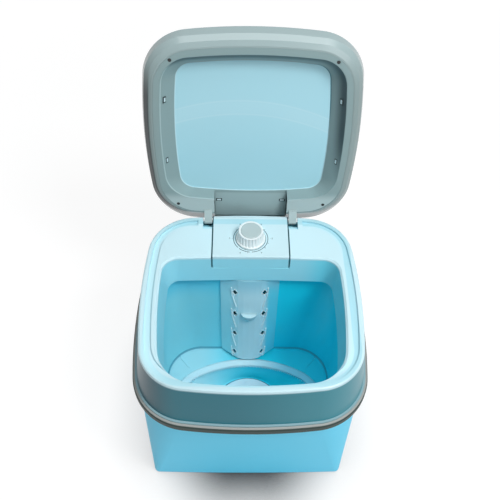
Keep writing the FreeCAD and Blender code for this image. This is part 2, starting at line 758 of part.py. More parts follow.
def make_collar():
    body = new_body("collar")
    round_low = S.rim_height - S.rim_fillet
    round_mid = S.rim_height - S.rim_fillet * 0.3
    loft(body, rim_outline(sketch(body, z=Z_SKIRT), S.skirt_flare), rim_outline(sketch(body, z=round_low)),
         rim_outline(sketch(body, z=round_mid), -S.rim_fillet * 0.3),
         rim_outline(sketch(body, z=S.rim_height), -S.rim_fillet))
    pad(body, rim_outline(sketch(body, z=Z_SKIRT), S.flange_out), S.flange_thick)
    lean = S.skirt_flare * S.top_plate / S.skirt_drop
    hollow = rim_outline(sketch(body, z=Z_SKIRT), S.skirt_flare - S.shell_wall)
    loft(body, hollow, rim_outline(sketch(body, z=Z_PLATE), lean - S.shell_wall), cut=True)
    funnel = mouth_outline(sketch(body, z=Z_FUNNEL), S.mouth_wall - S.mouth_draft)
    loft(body, funnel, mouth_outline(sketch(body, z=Z_PLATE + 1), S.mouth_wall))
    mouth = mouth_outline(sketch(body, z=Z_FUNNEL), -S.mouth_draft)
    loft(body, mouth, mouth_outline(sketch(body, z=S.rim_height)), cut=True)
    bevel = mouth_outline(sketch(body, z=S.rim_height - S.mouth_fillet))
    loft(body, bevel, mouth_outline(sketch(body, z=S.rim_height), S.mouth_fillet), cut=True)
    groove = rim_outline(sketch(body, z=S.rim_height), -S.ridge_width)
    rim_outline(groove, -(S.ridge_width + S.groove_width))
    pocket(body, groove, S.groove_depth)
    add_hinge_seat(body)
    cut_panel_seat(body)
    for x, y in TUB_SCREWS:
        cylinder(body, S.screw_radius, S.tub_screw_len - S.ear_thick, x, y, Z_PLATE, cut=True)


def add_hinge_seat(body):
    """Close the groove across the hinges, then sink a notch with a pin hole on each side."""
    seat_x = S.notch_out + S.notch_wall
    groove_in = S.rim_half_d - S.ridge_width - S.groove_width
    box(body, -seat_x, groove_in - 5, Z_PLATE + 1, seat_x, S.rim_half_d - S.ridge_width + 1, S.rim_height)
    notch_low = S.rim_height - S.notch_depth
    inner = S.panel_half_w + S.panel_gap
    for side in (-1, 1):
        low, high = (inner - 3, seat_x) if side > 0 else (-seat_x, 3 - inner)
        box(body, low, S.notch_front - 3, notch_low - 3, high, S.rim_half_d - S.ridge_width, Z_PLATE + 1)
    for side in (-1, 1):
        low, high = (inner, S.notch_out) if side > 0 else (-S.notch_out, -inner)
        box(body, low, S.notch_step, notch_low, high, S.rim_half_d + 10, S.rim_height + 1, cut=True)
        box(body, low, S.notch_front, S.rim_height - S.notch_shallow, high, S.notch_step + 1, S.rim_height + 1,
            cut=True)
        pin_low, pin_high = (S.notch_out - 1, seat_x) if side > 0 else (-seat_x, 1 - S.notch_out)
        cylinder_x(body, S.hinge_pin, pin_low, pin_high, S.hinge_y, Z_HINGE, cut=True)


def cut_panel_seat(body):
    """The shelf under the control panel, the slot for its front, and the timer's holes."""
    half = S.panel_half_w + S.panel_gap
    shelf = S.rim_height - S.panel_thick
    front = S.mouth_back - S.mouth_draft - 4
    box(body, -half, front, shelf, half, S.panel_back + S.fit_gap, S.rim_height + 1, cut=True)
    box(body, -half, front, S.rim_height - S.panel_drop - S.fit_gap,
        half, S.mouth_back + S.mouth_wall + S.fit_gap, S.rim_height, cut=True)
    cylinder(body, TIMER_NECK + S.fit_gap, S.top_plate, 0, S.knob_y, Z_PLATE, cut=True)
    for side in (-1, 1):
        x = side * S.timer_screw_x
        cylinder(body, S.screw_radius, S.top_plate, x, S.knob_y, Z_PLATE, cut=True)
        cylinder(body, S.screw_head + S.fit_gap, S.screw_head_h, x, S.knob_y, shelf - S.screw_head_h, cut=True)


TIMER_NECK = 7


def make_control_panel():
    body = new_body("control_panel")
    slope = S.mouth_draft / S.mouth_drop
    low = S.rim_height - S.panel_drop
    foot = S.mouth_back - slope * S.panel_drop
    shelf = S.rim_height - S.panel_thick
    sk = polygon(sketch(body, "YZ_Plane"), [
        (foot, low), (S.mouth_back, S.rim_height), (S.panel_back, S.rim_height), (S.panel_back, shelf),
        (S.mouth_back + S.mouth_wall, shelf), (foot + S.mouth_wall, low)])
    pad(body, sk, S.panel_half_w * 2, symmetric=True)
    lip = S.mouth_back.value + 0.1
    fillet(body, S.mouth_fillet, level_edge(S.rim_height, lambda b: b.YMax < lip and b.XMax - b.XMin > 1))
    cylinder(body, S.spindle_radius + S.turn_gap, S.panel_thick, 0, S.knob_y, shelf, cut=True)


# Tub, filter and floor ring

def make_wash_tub():
    body = new_body("wash_tub")
    under = S.tub_floor - S.shell_wall
    turn = S.tub_floor + S.tub_fillet
    loft(body, tub_outline(sketch(body, z=under), under, S.shell_wall - S.tub_fillet),
         tub_outline(sketch(body, z=turn), turn, S.shell_wall))
    loft(body, tub_outline(sketch(body, z=turn), turn, S.shell_wall),
         tub_outline(sketch(body, z=Z_PLATE), Z_PLATE, S.shell_wall))
    for x, y in TUB_SCREWS:
        side = 1 if x.value > 0 else -1
        ends = [side * S.tub_half_w, x + side * S.ear_reach]
        low, high = ends[::side]
        box(body, low, y - S.ear_half_w, Z_PLATE - S.ear_thick, high, y + S.ear_half_w, Z_PLATE)
    loft(body, sump_outline(sketch(body, y=S.axis_y, z=Z_SUMP_UNDER), S.shell_wall),
         ring_outline(sketch(body, y=S.axis_y, z=under + 1), S.shell_wall))
    loft(body, tub_outline(sketch(body, z=S.tub_floor), S.tub_floor, -S.tub_fillet),
         tub_outline(sketch(body, z=turn), turn), cut=True)
    loft(body, tub_outline(sketch(body, z=turn), turn), tub_outline(sketch(body, z=Z_PLATE), Z_PLATE), cut=True)
    seat = S.tub_floor - S.ring_sink
    pocket(body, ring_outline(sketch(body, y=S.axis_y, z=S.tub_floor)), S.ring_sink)
    loft(body, sump_outline(sketch(body, y=S.axis_y, z=Z_SUMP)),
         ring_outline(sketch(body, y=S.axis_y, z=seat), -S.ring_width), cut=True)
    cylinder(body, S.housing_nose + S.fit_gap, S.sump_floor, 0, S.axis_y, Z_SUMP_UNDER, cut=True)
    for x, y in on_circle(S.housing_screw_r, 4):
        cylinder(body, S.screw_radius, S.sump_floor - 1.5, x, S.axis_y + y, Z_SUMP_UNDER, cut=True)
    wall = tub_back_at(S.drain_z)
    cylinder_y(body, S.drain_nipple, wall + 1, wall + S.shell_wall + S.drain_nipple_l, S.drain_x, S.drain_z)
    cylinder_y(body, S.drain_bore, wall - 2, wall + S.shell_wall + S.drain_nipple_l, S.drain_x, S.drain_z, cut=True)
    for x, y in TUB_SCREWS:
        cylinder(body, S.screw_radius, S.ear_thick, x, y, Z_PLATE - S.ear_thick, cut=True)


def tub_back_at(z):
    """The tub's inside back at height z."""
    return S.tub_back - S.tub_draft_back * (Z_PLATE - z) / (Z_PLATE - S.tub_floor)


def column_deep(z):
    """The filter column's depth at height z."""
    share = (as_size(z) - S.column_foot) / (S.column_top - S.column_foot)
    return S.column_deep_foot - (S.column_deep_foot - S.column_deep_top) * share


# Shares of the bulge's half width and of the column's depth, from the bulge's edge to its middle.
COLUMN_BULGE = ((1, 0.72), (0.75, 0.88), (0.4, 0.97), (0, 1))


def column_section(sk, z, inset=0):
    """The filter column's outline at height z, a slanting flank on each side of a bulging middle."""
    back = tub_back_at(z) - S.fit_gap
    half = S.column_half_w - inset
    side = S.column_side - inset
    front = [(S.column_flank * wide, back - column_deep(z) * deep + inset) for wide, deep in COLUMN_BULGE]
    left = [(-x, y) for x, y in front[:-1]]
    right = front[::-1]
    return polygon(sk, [(-half, back), (-half, back - side)] + left + right + [(half, back - side), (half, back)])


def make_lint_filter():
    body = new_body("lint_filter")
    top = S.column_top - S.column_wall
    loft(body, column_section(sketch(body, z=S.column_foot), S.column_foot),
         column_section(sketch(body, z=S.column_top), S.column_top))
    loft(body, column_section(sketch(body, z=S.column_foot), S.column_foot, S.column_wall),
         column_section(sketch(body, z=top), top, S.column_wall), cut=True)
    front = tub_back_at(S.column_foot) - S.fit_gap - S.column_deep_foot
    heel = S.axis_y + S.ring_half_d + S.fit_gap
    web = S.column_foot + S.heel_deep
    sk = polygon(sketch(body, "YZ_Plane"), [
        (front + S.column_wall / 2, web), (front + S.column_wall / 2, S.column_foot), (heel, S.column_foot),
        (heel, S.tub_floor), (heel + S.heel_deep, S.tub_floor), (heel + S.heel_deep, web)])
    pad(body, sk, S.heel_width, symmetric=True)
    sk = sketch(body, "XZ_Plane", z=-(front - 12))
    for x in (-S.column_hole_x, S.column_hole_x):
        polygon(sk, [
            (x, S.column_hole_z + S.hole_half_h), (x - S.hole_half_w, S.column_hole_z),
            (x, S.column_hole_z - S.hole_half_h), (x + S.hole_half_w, S.column_hole_z)])
    hole = pocket(body, sk, S.column_deep_foot + S.tub_draft_back + 10)
    row(body, [hole], "Z_Axis", S.column_pitch, S.column_rows)


def make_filter_latch():
    body = new_body("filter_latch")
    low = S.latch_z - S.latch_tall / 2
    high = S.latch_z + S.latch_tall / 2
    face_low = tub_back_at(low) - S.fit_gap - column_deep(low)
    face_high = tub_back_at(high) - S.fit_gap - column_deep(high)
    sk = polygon(sketch(body, "YZ_Plane"), [
        (face_low, low), (face_low - S.latch_out, low + 3), (face_high - S.latch_out, high - 3), (face_high, high)])
    pad(body, sk, S.latch_half_w * 2, symmetric=True)


def make_floor_ring():
    body = new_body("floor_ring", y=S.axis_y)
    seat = S.tub_floor - S.ring_sink
    top = seat + S.ring_thick
    edge = -S.fit_gap
    loft(body, ring_outline(sketch(body, z=seat), edge), ring_outline(sketch(body, z=top - S.ring_bevel / 2), edge),
         ring_outline(sketch(body, z=top), edge - S.ring_bevel))
    pocket(body, ring_outline(sketch(body, z=top), -S.ring_width), S.ring_thick)


# Shaft, bearings and pulsator, on the pulsator axis

def make_bearing_housing():
    body = new_body("bearing_housing", y=S.axis_y)
    flange_low = Z_FLANGE - S.housing_flange_h
    revolve(body, [
        (S.housing_bore, S.housing_low), (S.housing_radius, S.housing_low), (S.housing_radius, flange_low),
        (S.housing_flange, flange_low), (S.housing_flange, Z_FLANGE), (S.housing_nose, Z_FLANGE),
        (S.housing_nose, Z_SUMP), (S.housing_bore, Z_SUMP)])
    for x, y in on_circle(S.housing_screw_r, 4):
        cylinder(body, S.screw_radius, S.housing_flange_h, x, y, flange_low, cut=True)


def make_housing_gasket():
    body = new_body("housing_gasket", y=S.axis_y)
    inner = S.housing_nose + S.fit_gap
    revolve(body, [
        (inner, Z_FLANGE), (S.housing_flange, Z_FLANGE), (S.housing_flange, Z_SUMP_UNDER), (inner, Z_SUMP_UNDER)])
    for x, y in on_circle(S.housing_screw_r, 4):
        cylinder(body, S.screw_radius, S.gasket_thick, x, y, Z_FLANGE, cut=True)


def make_housing_screws():
    body = new_body("housing_screws", y=S.axis_y)
    seat = Z_FLANGE - S.housing_flange_h
    shank = S.housing_flange_h + S.gasket_thick + S.sump_floor - 1.5
    for x, y in on_circle(S.housing_screw_r, 4):
        cylinder(body, S.screw_head, S.screw_head_h, x, y, seat - S.screw_head_h)
        cylinder(body, S.screw_radius, shank, x, y, seat)


def sleeve(label, inner, outer, low, high, x=0, y=0):
    """A plain ring on an upright axis."""
    body = new_body(label, x, y)
    revolve(body, [(inner, low), (outer, low), (outer, high), (inner, high)])
    return body


SEAL_HEIGHT = 6


def make_shaft_bearings():
    bore = S.shaft_radius + S.run_gap
    seal_low = Z_SUMP - SEAL_HEIGHT
    sleeve("lower_bush", bore, S.housing_bore, S.housing_low, S.housing_low + S.bush_length, y=S.axis_y)
    sleeve("upper_bush", bore, S.housing_bore, seal_low - S.bush_length, seal_low, y=S.axis_y)
    sleeve("shaft_seal", bore, S.housing_bore, seal_low, Z_SUMP, y=S.axis_y)


PULSATOR_LIFT = 1.5
PULSATOR_BORE = 7
BOLT_RADIUS = 2.5
Z_PULSATOR = Z_SUMP + PULSATOR_LIFT


def make_main_shaft():
    body = new_body("main_shaft", y=S.axis_y)
    low = S.pulley_low - S.nut_height - 2
    top = Z_PULSATOR + PULSATOR_BORE
    revolve(body, [
        (0, low), (S.shaft_radius, low), (S.shaft_radius, top), (BOLT_RADIUS, top),
        (BOLT_RADIUS, top - 14), (0, top - 14)])


def make_pulsator():
    body = new_body("pulsator", y=S.axis_y)
    z = Z_PULSATOR
    rim = S.pulsator_radius
    seat = z + S.pulsator_rise - 3
    revolve(body, [
        (S.shaft_radius, z), (rim - 3, z), (rim, z + 3), (rim - 1, z + 5), (S.pulsator_hub + 6, z + 7),
        (S.pulsator_hub, z + 10), (S.pulsator_hub - 2, z + S.pulsator_rise - 1),
        (S.cap_radius, z + S.pulsator_rise - 1), (S.cap_radius, seat), (S.cap_radius - 3, seat),
        (S.cap_radius - 3, z + PULSATOR_BORE + 4), (BOLT_RADIUS, z + PULSATOR_BORE + 4),
        (BOLT_RADIUS, z + PULSATOR_BORE), (S.shaft_radius, z + PULSATOR_BORE)])
    sk = polygon(sketch(body, "XZ_Plane"), [
        (S.pulsator_hub - 2, z + 5), (rim - 5, z + 4), (rim - 8, z + 9), (S.pulsator_hub - 1, z + 13)])
    vane = pad(body, sk, 9, symmetric=True)
    ring_of(body, [vane], S.pulsator_vanes)


def make_pulsator_trim():
    z = Z_PULSATOR
    seat = z + S.pulsator_rise - 3
    body = new_body("pulsator_cap", y=S.axis_y)
    edge = S.cap_radius - 0.1
    revolve(body, [(0, seat), (edge, seat), (edge, seat + 2), (edge - 3, seat + 3), (0, seat + 3.6)])
    body = new_body("pulsator_screw", y=S.axis_y)
    low = z + PULSATOR_BORE + 4
    cylinder(body, 5, S.screw_head_h, z=low)
    cylinder(body, BOLT_RADIUS, 16, z=low - 16)


def pulley_profile(bore, rim, hub, web_low, web_high, hub_top):
    """A grooved rim, a web and a hub."""
    z = S.pulley_low
    top = z + S.pulley_width
    floor = rim - S.pulley_groove
    inside = floor - 4
    return [
        (bore, z), (hub, z), (hub, z + web_low), (inside, z + web_low), (inside, z), (rim, z), (rim, z + 1.6),
        (floor, z + 2), (floor, top - 2), (rim, top - 1.6), (rim, top), (inside, top), (inside, z + web_high),
        (hub, z + web_high), (hub, hub_top), (bore, hub_top)]


def make_driven_pulley():
    body = new_body("driven_pulley", y=S.axis_y)
    top = S.pulley_low + S.pulley_width
    revolve(body, pulley_profile(S.shaft_radius, S.pulley_radius, S.pulley_hub, 5, 9, top + 2))
    hole = cylinder(body, 13, S.pulley_width, 37, 0, S.pulley_low, cut=True)
    ring_of(body, [hole], 5)


def make_pulley_nut():
    body = new_body("pulley_nut", y=S.axis_y)
    low = S.pulley_low - S.nut_height
    sk = sketch(body, z=low)
    polygon(sk, [(S.nut_radius * math.cos(math.radians(60 * i)), S.nut_radius * math.sin(math.radians(60 * i)))
                 for i in range(6)])
    pad(body, sk, S.nut_height)
    cylinder(body, S.shaft_radius, S.nut_height, z=low, cut=True)


def make_shaft_ring():
    top = S.housing_low - S.turn_gap
    sleeve("shaft_ring", S.shaft_radius, S.housing_bore + 1, top - 2, top, y=S.axis_y)


# Belt, motor and bracket

def make_drive_belt():
    body = new_body("drive_belt")
    inner_big = S.pulley_radius - S.pulley_groove + S.turn_gap
    inner_small = S.motor_pulley_radius - S.pulley_groove + S.turn_gap
    sk = sketch(body, z=S.pulley_low + (S.pulley_width - S.belt_width) / 2)
    belt_loop(sk, inner_big, inner_small)
    belt_loop(sk, inner_big + S.belt_thick, inner_small + S.belt_thick)
    pad(body, sk, S.belt_width)


def belt_loop(sk, big, small):
    """Two arcs round the pulleys and the two straight runs between them."""
    c0 = Vector(0, S.axis_y.value, 0)
    c1 = Vector(S.motor_x.value, S.motor_y.value, 0)
    span = c1 - c0
    heading = math.atan2(span.y, span.x)
    spread = math.acos((big.value - small.value) / span.Length)
    marks = []
    for centre, radius in ((c0, big.value), (c1, small.value)):
        for sign in (1, -1):
            angle = heading + sign * spread
            marks.append(centre + Vector(math.cos(angle), math.sin(angle), 0) * radius)
    big_a, big_b, small_a, small_b = marks
    first = sk.GeometryCount
    big_arc = Part.ArcOfCircle(Part.Circle(c0, UP, big.value), heading + spread, heading - spread + 2 * math.pi)
    small_arc = Part.ArcOfCircle(Part.Circle(c1, UP, small.value), heading - spread, heading + spread)
    sk.addGeometry(big_arc, False)
    sk.addGeometry(Part.LineSegment(big_b, small_b), False)
    sk.addGeometry(small_arc, False)
    sk.addGeometry(Part.LineSegment(small_a, big_a), False)
    for i in range(4):
        nxt = first + (i + 1) % 4
        sk.addConstraint(Sketcher.Constraint("Tangent", first + i, 2, nxt, 1))
    pin_point(sk, first, 3, 0, S.axis_y)
    pin_point(sk, first + 2, 3, S.motor_x, S.motor_y)
    set_size(sk, Sketcher.Constraint("Radius", first, big.value), big)
    set_size(sk, Sketcher.Constraint("Radius", first + 2, small.value), small)


def motor_body(label):
    return new_body(label, S.motor_x, S.motor_y)


MOTOR_BEARING = 8
BEARING_LONG = 10
SHIELD_SIDE = 6


def bolt_holes(body, low, high):
    for x, y in on_circle(S.motor_bolt_circle, 4):
        cylinder(body, S.motor_bolt_radius, as_size(high) - low, x, y, low, cut=True)


def make_motor_shields():
    rim = S.motor_radius
    wall = S.shield_wall
    boss = MOTOR_BEARING + 3
    body = motor_body("motor_lower_shield")
    z = Z_SHIELD
    revolve(body, [
        (MOTOR_BEARING, z), (rim, z), (rim, Z_STATOR), (rim - SHIELD_SIDE, Z_STATOR), (rim - SHIELD_SIDE, z + wall),
        (boss, z + wall), (boss, z + BEARING_LONG), (MOTOR_BEARING, z + BEARING_LONG)])
    bolt_holes(body, Z_SHIELD, Z_STATOR)
    body = motor_body("motor_upper_shield")
    z = Z_MOTOR_TOP
    revolve(body, [
        (MOTOR_BEARING, z), (rim, z), (rim, Z_UPPER), (rim - SHIELD_SIDE, Z_UPPER), (rim - SHIELD_SIDE, z - wall),
        (boss, z - wall), (boss, z - BEARING_LONG), (MOTOR_BEARING, z - BEARING_LONG)])
    bolt_holes(body, Z_UPPER, Z_MOTOR_TOP)


def make_motor_stator():
    bore = S.rotor_radius + S.air_gap
    body = sleeve("motor_stator", bore, S.motor_radius, Z_STATOR, Z_UPPER, S.motor_x, S.motor_y)
    bolt_holes(body, Z_STATOR, Z_UPPER)


def make_motor_bearings():
    body = motor_body("motor_bearings")
    bore = S.motor_shaft_radius + S.run_gap
    for low in (Z_SHIELD, Z_MOTOR_TOP - BEARING_LONG):
        high = low + BEARING_LONG
        revolve(body, [(bore, low), (MOTOR_BEARING, low), (MOTOR_BEARING, high), (bore, high)])


def make_motor_bolts():
    body = motor_body("motor_bolts")
    for x, y in on_circle(S.motor_bolt_circle, 4):
        cylinder(body, S.motor_bolt_radius, Z_MOTOR_TOP - S.bracket_z, x, y, S.bracket_z)
        cylinder(body, S.screw_head, S.screw_head_h, x, y, Z_MOTOR_TOP)


def make_rotor():
    low = Z_STATOR + 2
    high = Z_UPPER - 2
    sleeve("rotor_core", S.motor_shaft_radius, S.rotor_radius, low, high, S.motor_x, S.motor_y)
    body = motor_body("motor_shaft")
    cylinder(body, S.motor_shaft_radius, Z_MOTOR_TOP + 3 - (S.pulley_low - 3), z=S.pulley_low - 3)
    body = motor_body("motor_pulley")
    hub = MOTOR_BEARING + 3
    top = S.pulley_low + S.pulley_width
    z = S.pulley_low
    rim = S.motor_pulley_radius
    floor = rim - S.pulley_groove
    hub_top = top + HUB_TALL
    revolve(body, [
        (S.motor_shaft_radius, z), (rim, z), (rim, z + 1.6), (floor, z + 2), (floor, top - 2), (rim, top - 1.6),
        (rim, top), (hub, top), (hub, hub_top), (S.motor_shaft_radius, hub_top)])
    cylinder_x(body, BOLT_RADIUS, 0, hub + 1, 0, top + HUB_TALL / 2, cut=True)
    body = motor_body("pulley_setscrew")
    cylinder_x(body, BOLT_RADIUS, S.motor_shaft_radius + 0.1, hub - 0.5, 0, top + HUB_TALL / 2)


HUB_TALL = 9


def make_motor_bracket():
    body = motor_body("motor_bracket")
    rectangle_sk = rectangle(
        sketch(body, z=S.bracket_z), -S.bracket_half_x, -S.bracket_half_y, S.bracket_half_x, S.bracket_half_y)
    pad(body, rectangle_sk, S.bracket_thick)
    cylinder(body, 13, S.bracket_thick, z=S.bracket_z, cut=True)
    bolt_holes(body, S.bracket_z, Z_SHIELD)
    for x, y in corners(S.post_half_x, S.post_half_y):
        cylinder(body, S.screw_radius, S.bracket_thick, x, y, S.bracket_z, cut=True)


def make_bracket_fixings():
    body = motor_body("bracket_bushes")
    low = S.bracket_z - S.bush_thick
    for x, y in corners(S.post_half_x, S.post_half_y):
        cylinder(body, S.post_radius, S.bush_thick, x, y, low)
        cylinder(body, S.screw_radius, S.bush_thick, x, y, low, cut=True)
    body = motor_body("bracket_screws")
    for x, y in corners(S.post_half_x, S.post_half_y):
        cylinder(body, S.screw_radius, Z_SHIELD - low + 10, x, y, low - 10)
        cylinder(body, S.screw_head, S.screw_head_h, x, y, Z_SHIELD)


# Electrical parts

def make_capacitor():
    body = new_body("run_capacitor", S.can_x, S.can_y)
    top = Z_TRAY + S.can_height
    edge = S.can_radius
    revolve(body, [(0, Z_TRAY), (edge, Z_TRAY), (edge, top - 2), (edge - 2, top), (0, top)])
    for x in (-6, 6):
        box(body, x - 0.5, -3, top - 1, x + 0.5, 3, top + 8)
    inner = S.can_radius
    sleeve("capacitor_clamp", inner, inner + S.clamp_thick, Z_TRAY, Z_TRAY + S.clamp_height, S.can_x, S.can_y)


def make_timer():
    low = Z_PLATE - S.timer_height
    bore = S.spindle_radius + S.run_gap
    body = new_body("timer_body", y=S.knob_y)
    neck_top = S.rim_height - S.panel_thick - 0.5
    revolve(body, [
        (0, low), (S.timer_radius, low), (S.timer_radius, Z_PLATE), (TIMER_NECK, Z_PLATE), (TIMER_NECK, neck_top),
        (bore, neck_top), (bore, low + 8), (0, low + 8)])
    for side in (-1, 1):
        cylinder(body, S.screw_radius, 10, side * S.timer_screw_x, 0, Z_PLATE - 10, cut=True)
    body = new_body("timer_screws", y=S.knob_y)
    seat = S.rim_height - S.panel_thick - S.screw_head_h
    for side in (-1, 1):
        x = side * S.timer_screw_x
        cylinder(body, S.screw_head, S.screw_head_h, x, 0, seat)
        cylinder(body, S.screw_radius, seat - Z_PLATE + 10, x, 0, Z_PLATE - 10)
    body = new_body("timer_spindle", y=S.knob_y)
    cylinder(body, S.spindle_radius, S.rim_height + KNOB_BORE - (low + 8), z=low + 8)


KNOB_BORE = 14


def make_knob():
    body = new_body("timer_knob", y=S.knob_y)
    z = S.rim_height + S.turn_gap
    top = z + S.knob_height
    foot = S.knob_radius
    head = S.knob_top_r
    cap_seat = top - S.knob_cap_h
    bore_top = S.rim_height + KNOB_BORE
    revolve(body, [
        (S.spindle_radius, z), (foot, z), (foot, z + 2.5), (foot - 1.2, z + 4),
        (head + 0.6, top - 1.2), (head - 0.6, top),
        (S.knob_cap_r, top), (S.knob_cap_r, cap_seat), (0, cap_seat), (0, bore_top), (S.spindle_radius, bore_top)])
    flute = cylinder(body, 2, S.knob_height, foot + 0.2, 0, z + 2.5, cut=True)
    ring_of(body, [flute], S.knob_flutes)
    body = new_body("knob_cap", y=S.knob_y)
    edge = S.knob_cap_r - 0.1
    revolve(body, [(0, cap_seat), (edge, cap_seat), (edge, top), (edge - 1, top + 0.5), (0, top + 0.5)])


def make_wiring():
    body = new_body("wiring")
    start = Z_PLATE - S.timer_height
    end_x = S.motor_x + S.wire_bend
    spine = sketch(body, "XZ_Plane", z=-S.knob_y)
    marks = [(S.wire_x, start), (S.wire_x, start - 120), (end_x, start - 160), (end_x, Z_MOTOR_TOP)]
    for (x0, z0), (x1, z1) in zip(marks, marks[1:]):
        ends = [Vector(as_size(x).value, as_size(z).value, 0) for x, z in ((x0, z0), (x1, z1))]
        geo = spine.addGeometry(Part.LineSegment(*ends), False)
        pin_point(spine, geo, 1, x0, z0)
        pin_point(spine, geo, 2, x1, z1)
    ring = circle(sketch(body, z=start), S.wire_radius, S.wire_x, S.knob_y)
    pipe = feature(body, "AdditivePipe", "sheath", Profile=ring)
    pipe.Spine = (spine, [])
    pipe.Transition = "Round corner"


# Drain and cord gland

ALONG_Y = Rotation(Vector(1, 0, 0), -90)


def make_drain_hose():
    body = new_body("drain_hose")
    start = tub_back_at(S.drain_z) + S.shell_wall + 1.5
    end = S.outlet_in + 9
    bend = S.hose_bend
    spine = hose_spine(sketch(body, "YZ_Plane", z=S.drain_x), start, end, bend)
    ring = circle(sketch(body, "XZ_Plane", z=-start), S.drain_nipple + S.hose_wall, S.drain_x, S.drain_z)
    pipe = feature(body, "AdditivePipe", "hose", Profile=ring)
    pipe.Spine = (spine, [])
    hollow = hose_spine(sketch(body, "YZ_Plane", z=S.drain_x), start, end, bend)
    ring = circle(sketch(body, "XZ_Plane", z=-start), S.drain_nipple, S.drain_x, S.drain_z)
    pipe = feature(body, "SubtractivePipe", "bore", Profile=ring)
    pipe.Spine = (hollow, [])


def hose_spine(sk, start, end, bend):
    """Out of the tub, down, and out through the back."""
    y = S.hose_y
    c0 = (y - bend, S.drain_z - bend)
    c1 = (y + bend, S.outlet_z + bend)
    v0 = Vector(c0[0].value, c0[1].value, 0)
    v1 = Vector(c1[0].value, c1[1].value, 0)
    top = Vector(c0[0].value, S.drain_z.value, 0)
    fall = Vector(y.value, c0[1].value, 0)
    rise = Vector(y.value, c1[1].value, 0)
    low = Vector(c1[0].value, S.outlet_z.value, 0)
    sk.addGeometry(Part.LineSegment(Vector(start.value, S.drain_z.value, 0), top), False)
    sk.addGeometry(Part.ArcOfCircle(Part.Circle(v0, UP, bend.value), 0, math.pi / 2), False)
    sk.addGeometry(Part.LineSegment(fall, rise), False)
    sk.addGeometry(Part.ArcOfCircle(Part.Circle(v1, UP, bend.value), math.pi, 1.5 * math.pi), False)
    sk.addGeometry(Part.LineSegment(low, Vector(end.value, S.outlet_z.value, 0)), False)
    for one, pos_one, two, pos_two in ((0, 2, 1, 2), (1, 1, 2, 1), (2, 2, 3, 1), (3, 2, 4, 1)):
        sk.addConstraint(Sketcher.Constraint("Tangent", one, pos_one, two, pos_two))
    pin_point(sk, 0, 1, start, S.drain_z)
    pin_point(sk, 1, 3, *c0)
    pin_point(sk, 3, 3, *c1)
    pin_point(sk, 4, 2, end, S.outlet_z)
    for geo in (1, 3):
        set_size(sk, Sketcher.Constraint("Radius", geo, bend.value), bend)
    return sk


def make_drain_spigot():
    body = new_body("drain_spigot", S.drain_x, 0, S.outlet_z, ALONG_Y)
    tube = S.drain_nipple
    end = S.outlet_out
    barb = tube + 1.2
    revolve(body, [
        (S.drain_bore, S.outlet_in), (tube, S.outlet_in), (tube, end - 16), (barb, end - 15), (tube, end - 9),
        (barb, end - 8), (tube - 1, end), (S.drain_bore, end)])


def make_cord_gland():
    body = new_body("cord_gland", S.gland_x, 0, S.gland_z, ALONG_Y)
    wall = S.base_half_d + 1
    neck = S.gland_neck
    flange = S.gland_flange
    revolve(body, [
        (S.gland_bore, wall - 3), (flange, wall - 3), (flange, wall - 0.8), (neck, wall - 0.8), (neck, wall + 5.2),
        (flange, wall + 5.2), (flange - 1, wall + 7.4), (S.gland_bore + 1.5, wall + 9), (S.gland_bore, wall + 9)])


# Lid, drawn shut about its hinge axis and turned open

def lid_body(label):
    body = new_body(label, 0, S.hinge_y, Z_HINGE, Rotation(Vector(-1, 0, 0), S.lid_open.value))
    body.setExpression("Placement.Rotation.Angle", S.lid_open.text)
    return body


def lid_z(above_rim):
    """Height in the lid's own frame of a level above the rim."""
    return above_rim + S.hinge_sink


def lid_sketch(body, above_rim):
    return sketch(body, y=-S.hinge_y, z=lid_z(above_rim))


def crest_outline(sk, out=0):
    bow = S.lid_bow + out
    return outline(
        sk, S.crest_half_w + out, S.crest_front + out, S.crest_back + out,
        S.crest_corner + out, S.crest_corner + out, bow, bow, bow)


def belt_outline(sk, out=0):
    bow = S.lid_bow + out
    half_d = S.lid_half_d + out
    corner = S.lid_corner + out
    return outline(sk, S.lid_half_w + out, half_d, half_d, corner, corner, bow, bow, bow)


def frame_outline(sk, out=0):
    bow = S.lid_bow + out
    corner = S.frame_corner + out
    return outline(sk, S.frame_half_w + out, S.frame_front + out, S.frame_back + out, corner, corner, bow, bow, bow)


def window_outline(sk, out=0):
    bow = S.lid_bow + out
    corner = S.window_corner + out
    return outline(
        sk, S.window_half_w + out, S.window_front + out, S.window_back + out, corner, corner, bow, bow, bow)


def lid_screw_places():
    """The lid's four screws in the lid's own frame."""
    return [(side * S.lid_screw_x, y - S.hinge_y) for side in (-1, 1)
            for y in (-S.lid_screw_front, S.lid_screw_back)]


RING_THICK = 2.6
# Shares of the height and of the swelling of the lid's sides, from the lower edge to the widest line.
LID_SWELL = ((0, 0), (0.12, 0.4), (0.4, 0.78), (1, 1))


def lid_sides(body, out=0):
    """The outlines that the lid's sides pass through. The front and the sides swell, the back stays straight."""
    bow = S.lid_bow + out
    places = []
    for rise, swell in LID_SWELL:
        half_w = S.crest_half_w + (S.lid_half_w - S.crest_half_w) * swell + out
        front = S.crest_front + (S.lid_half_d - S.crest_front) * swell + out
        back = S.crest_back + (S.lid_half_d - S.crest_back) * rise + out
        corner = S.crest_corner + (S.lid_corner - S.crest_corner) * rise + out
        sk = lid_sketch(body, S.lid_rest + (S.lid_belt - S.lid_rest) * rise)
        places.append(outline(sk, half_w, front, back, corner, corner, bow, bow, bow))
    return places


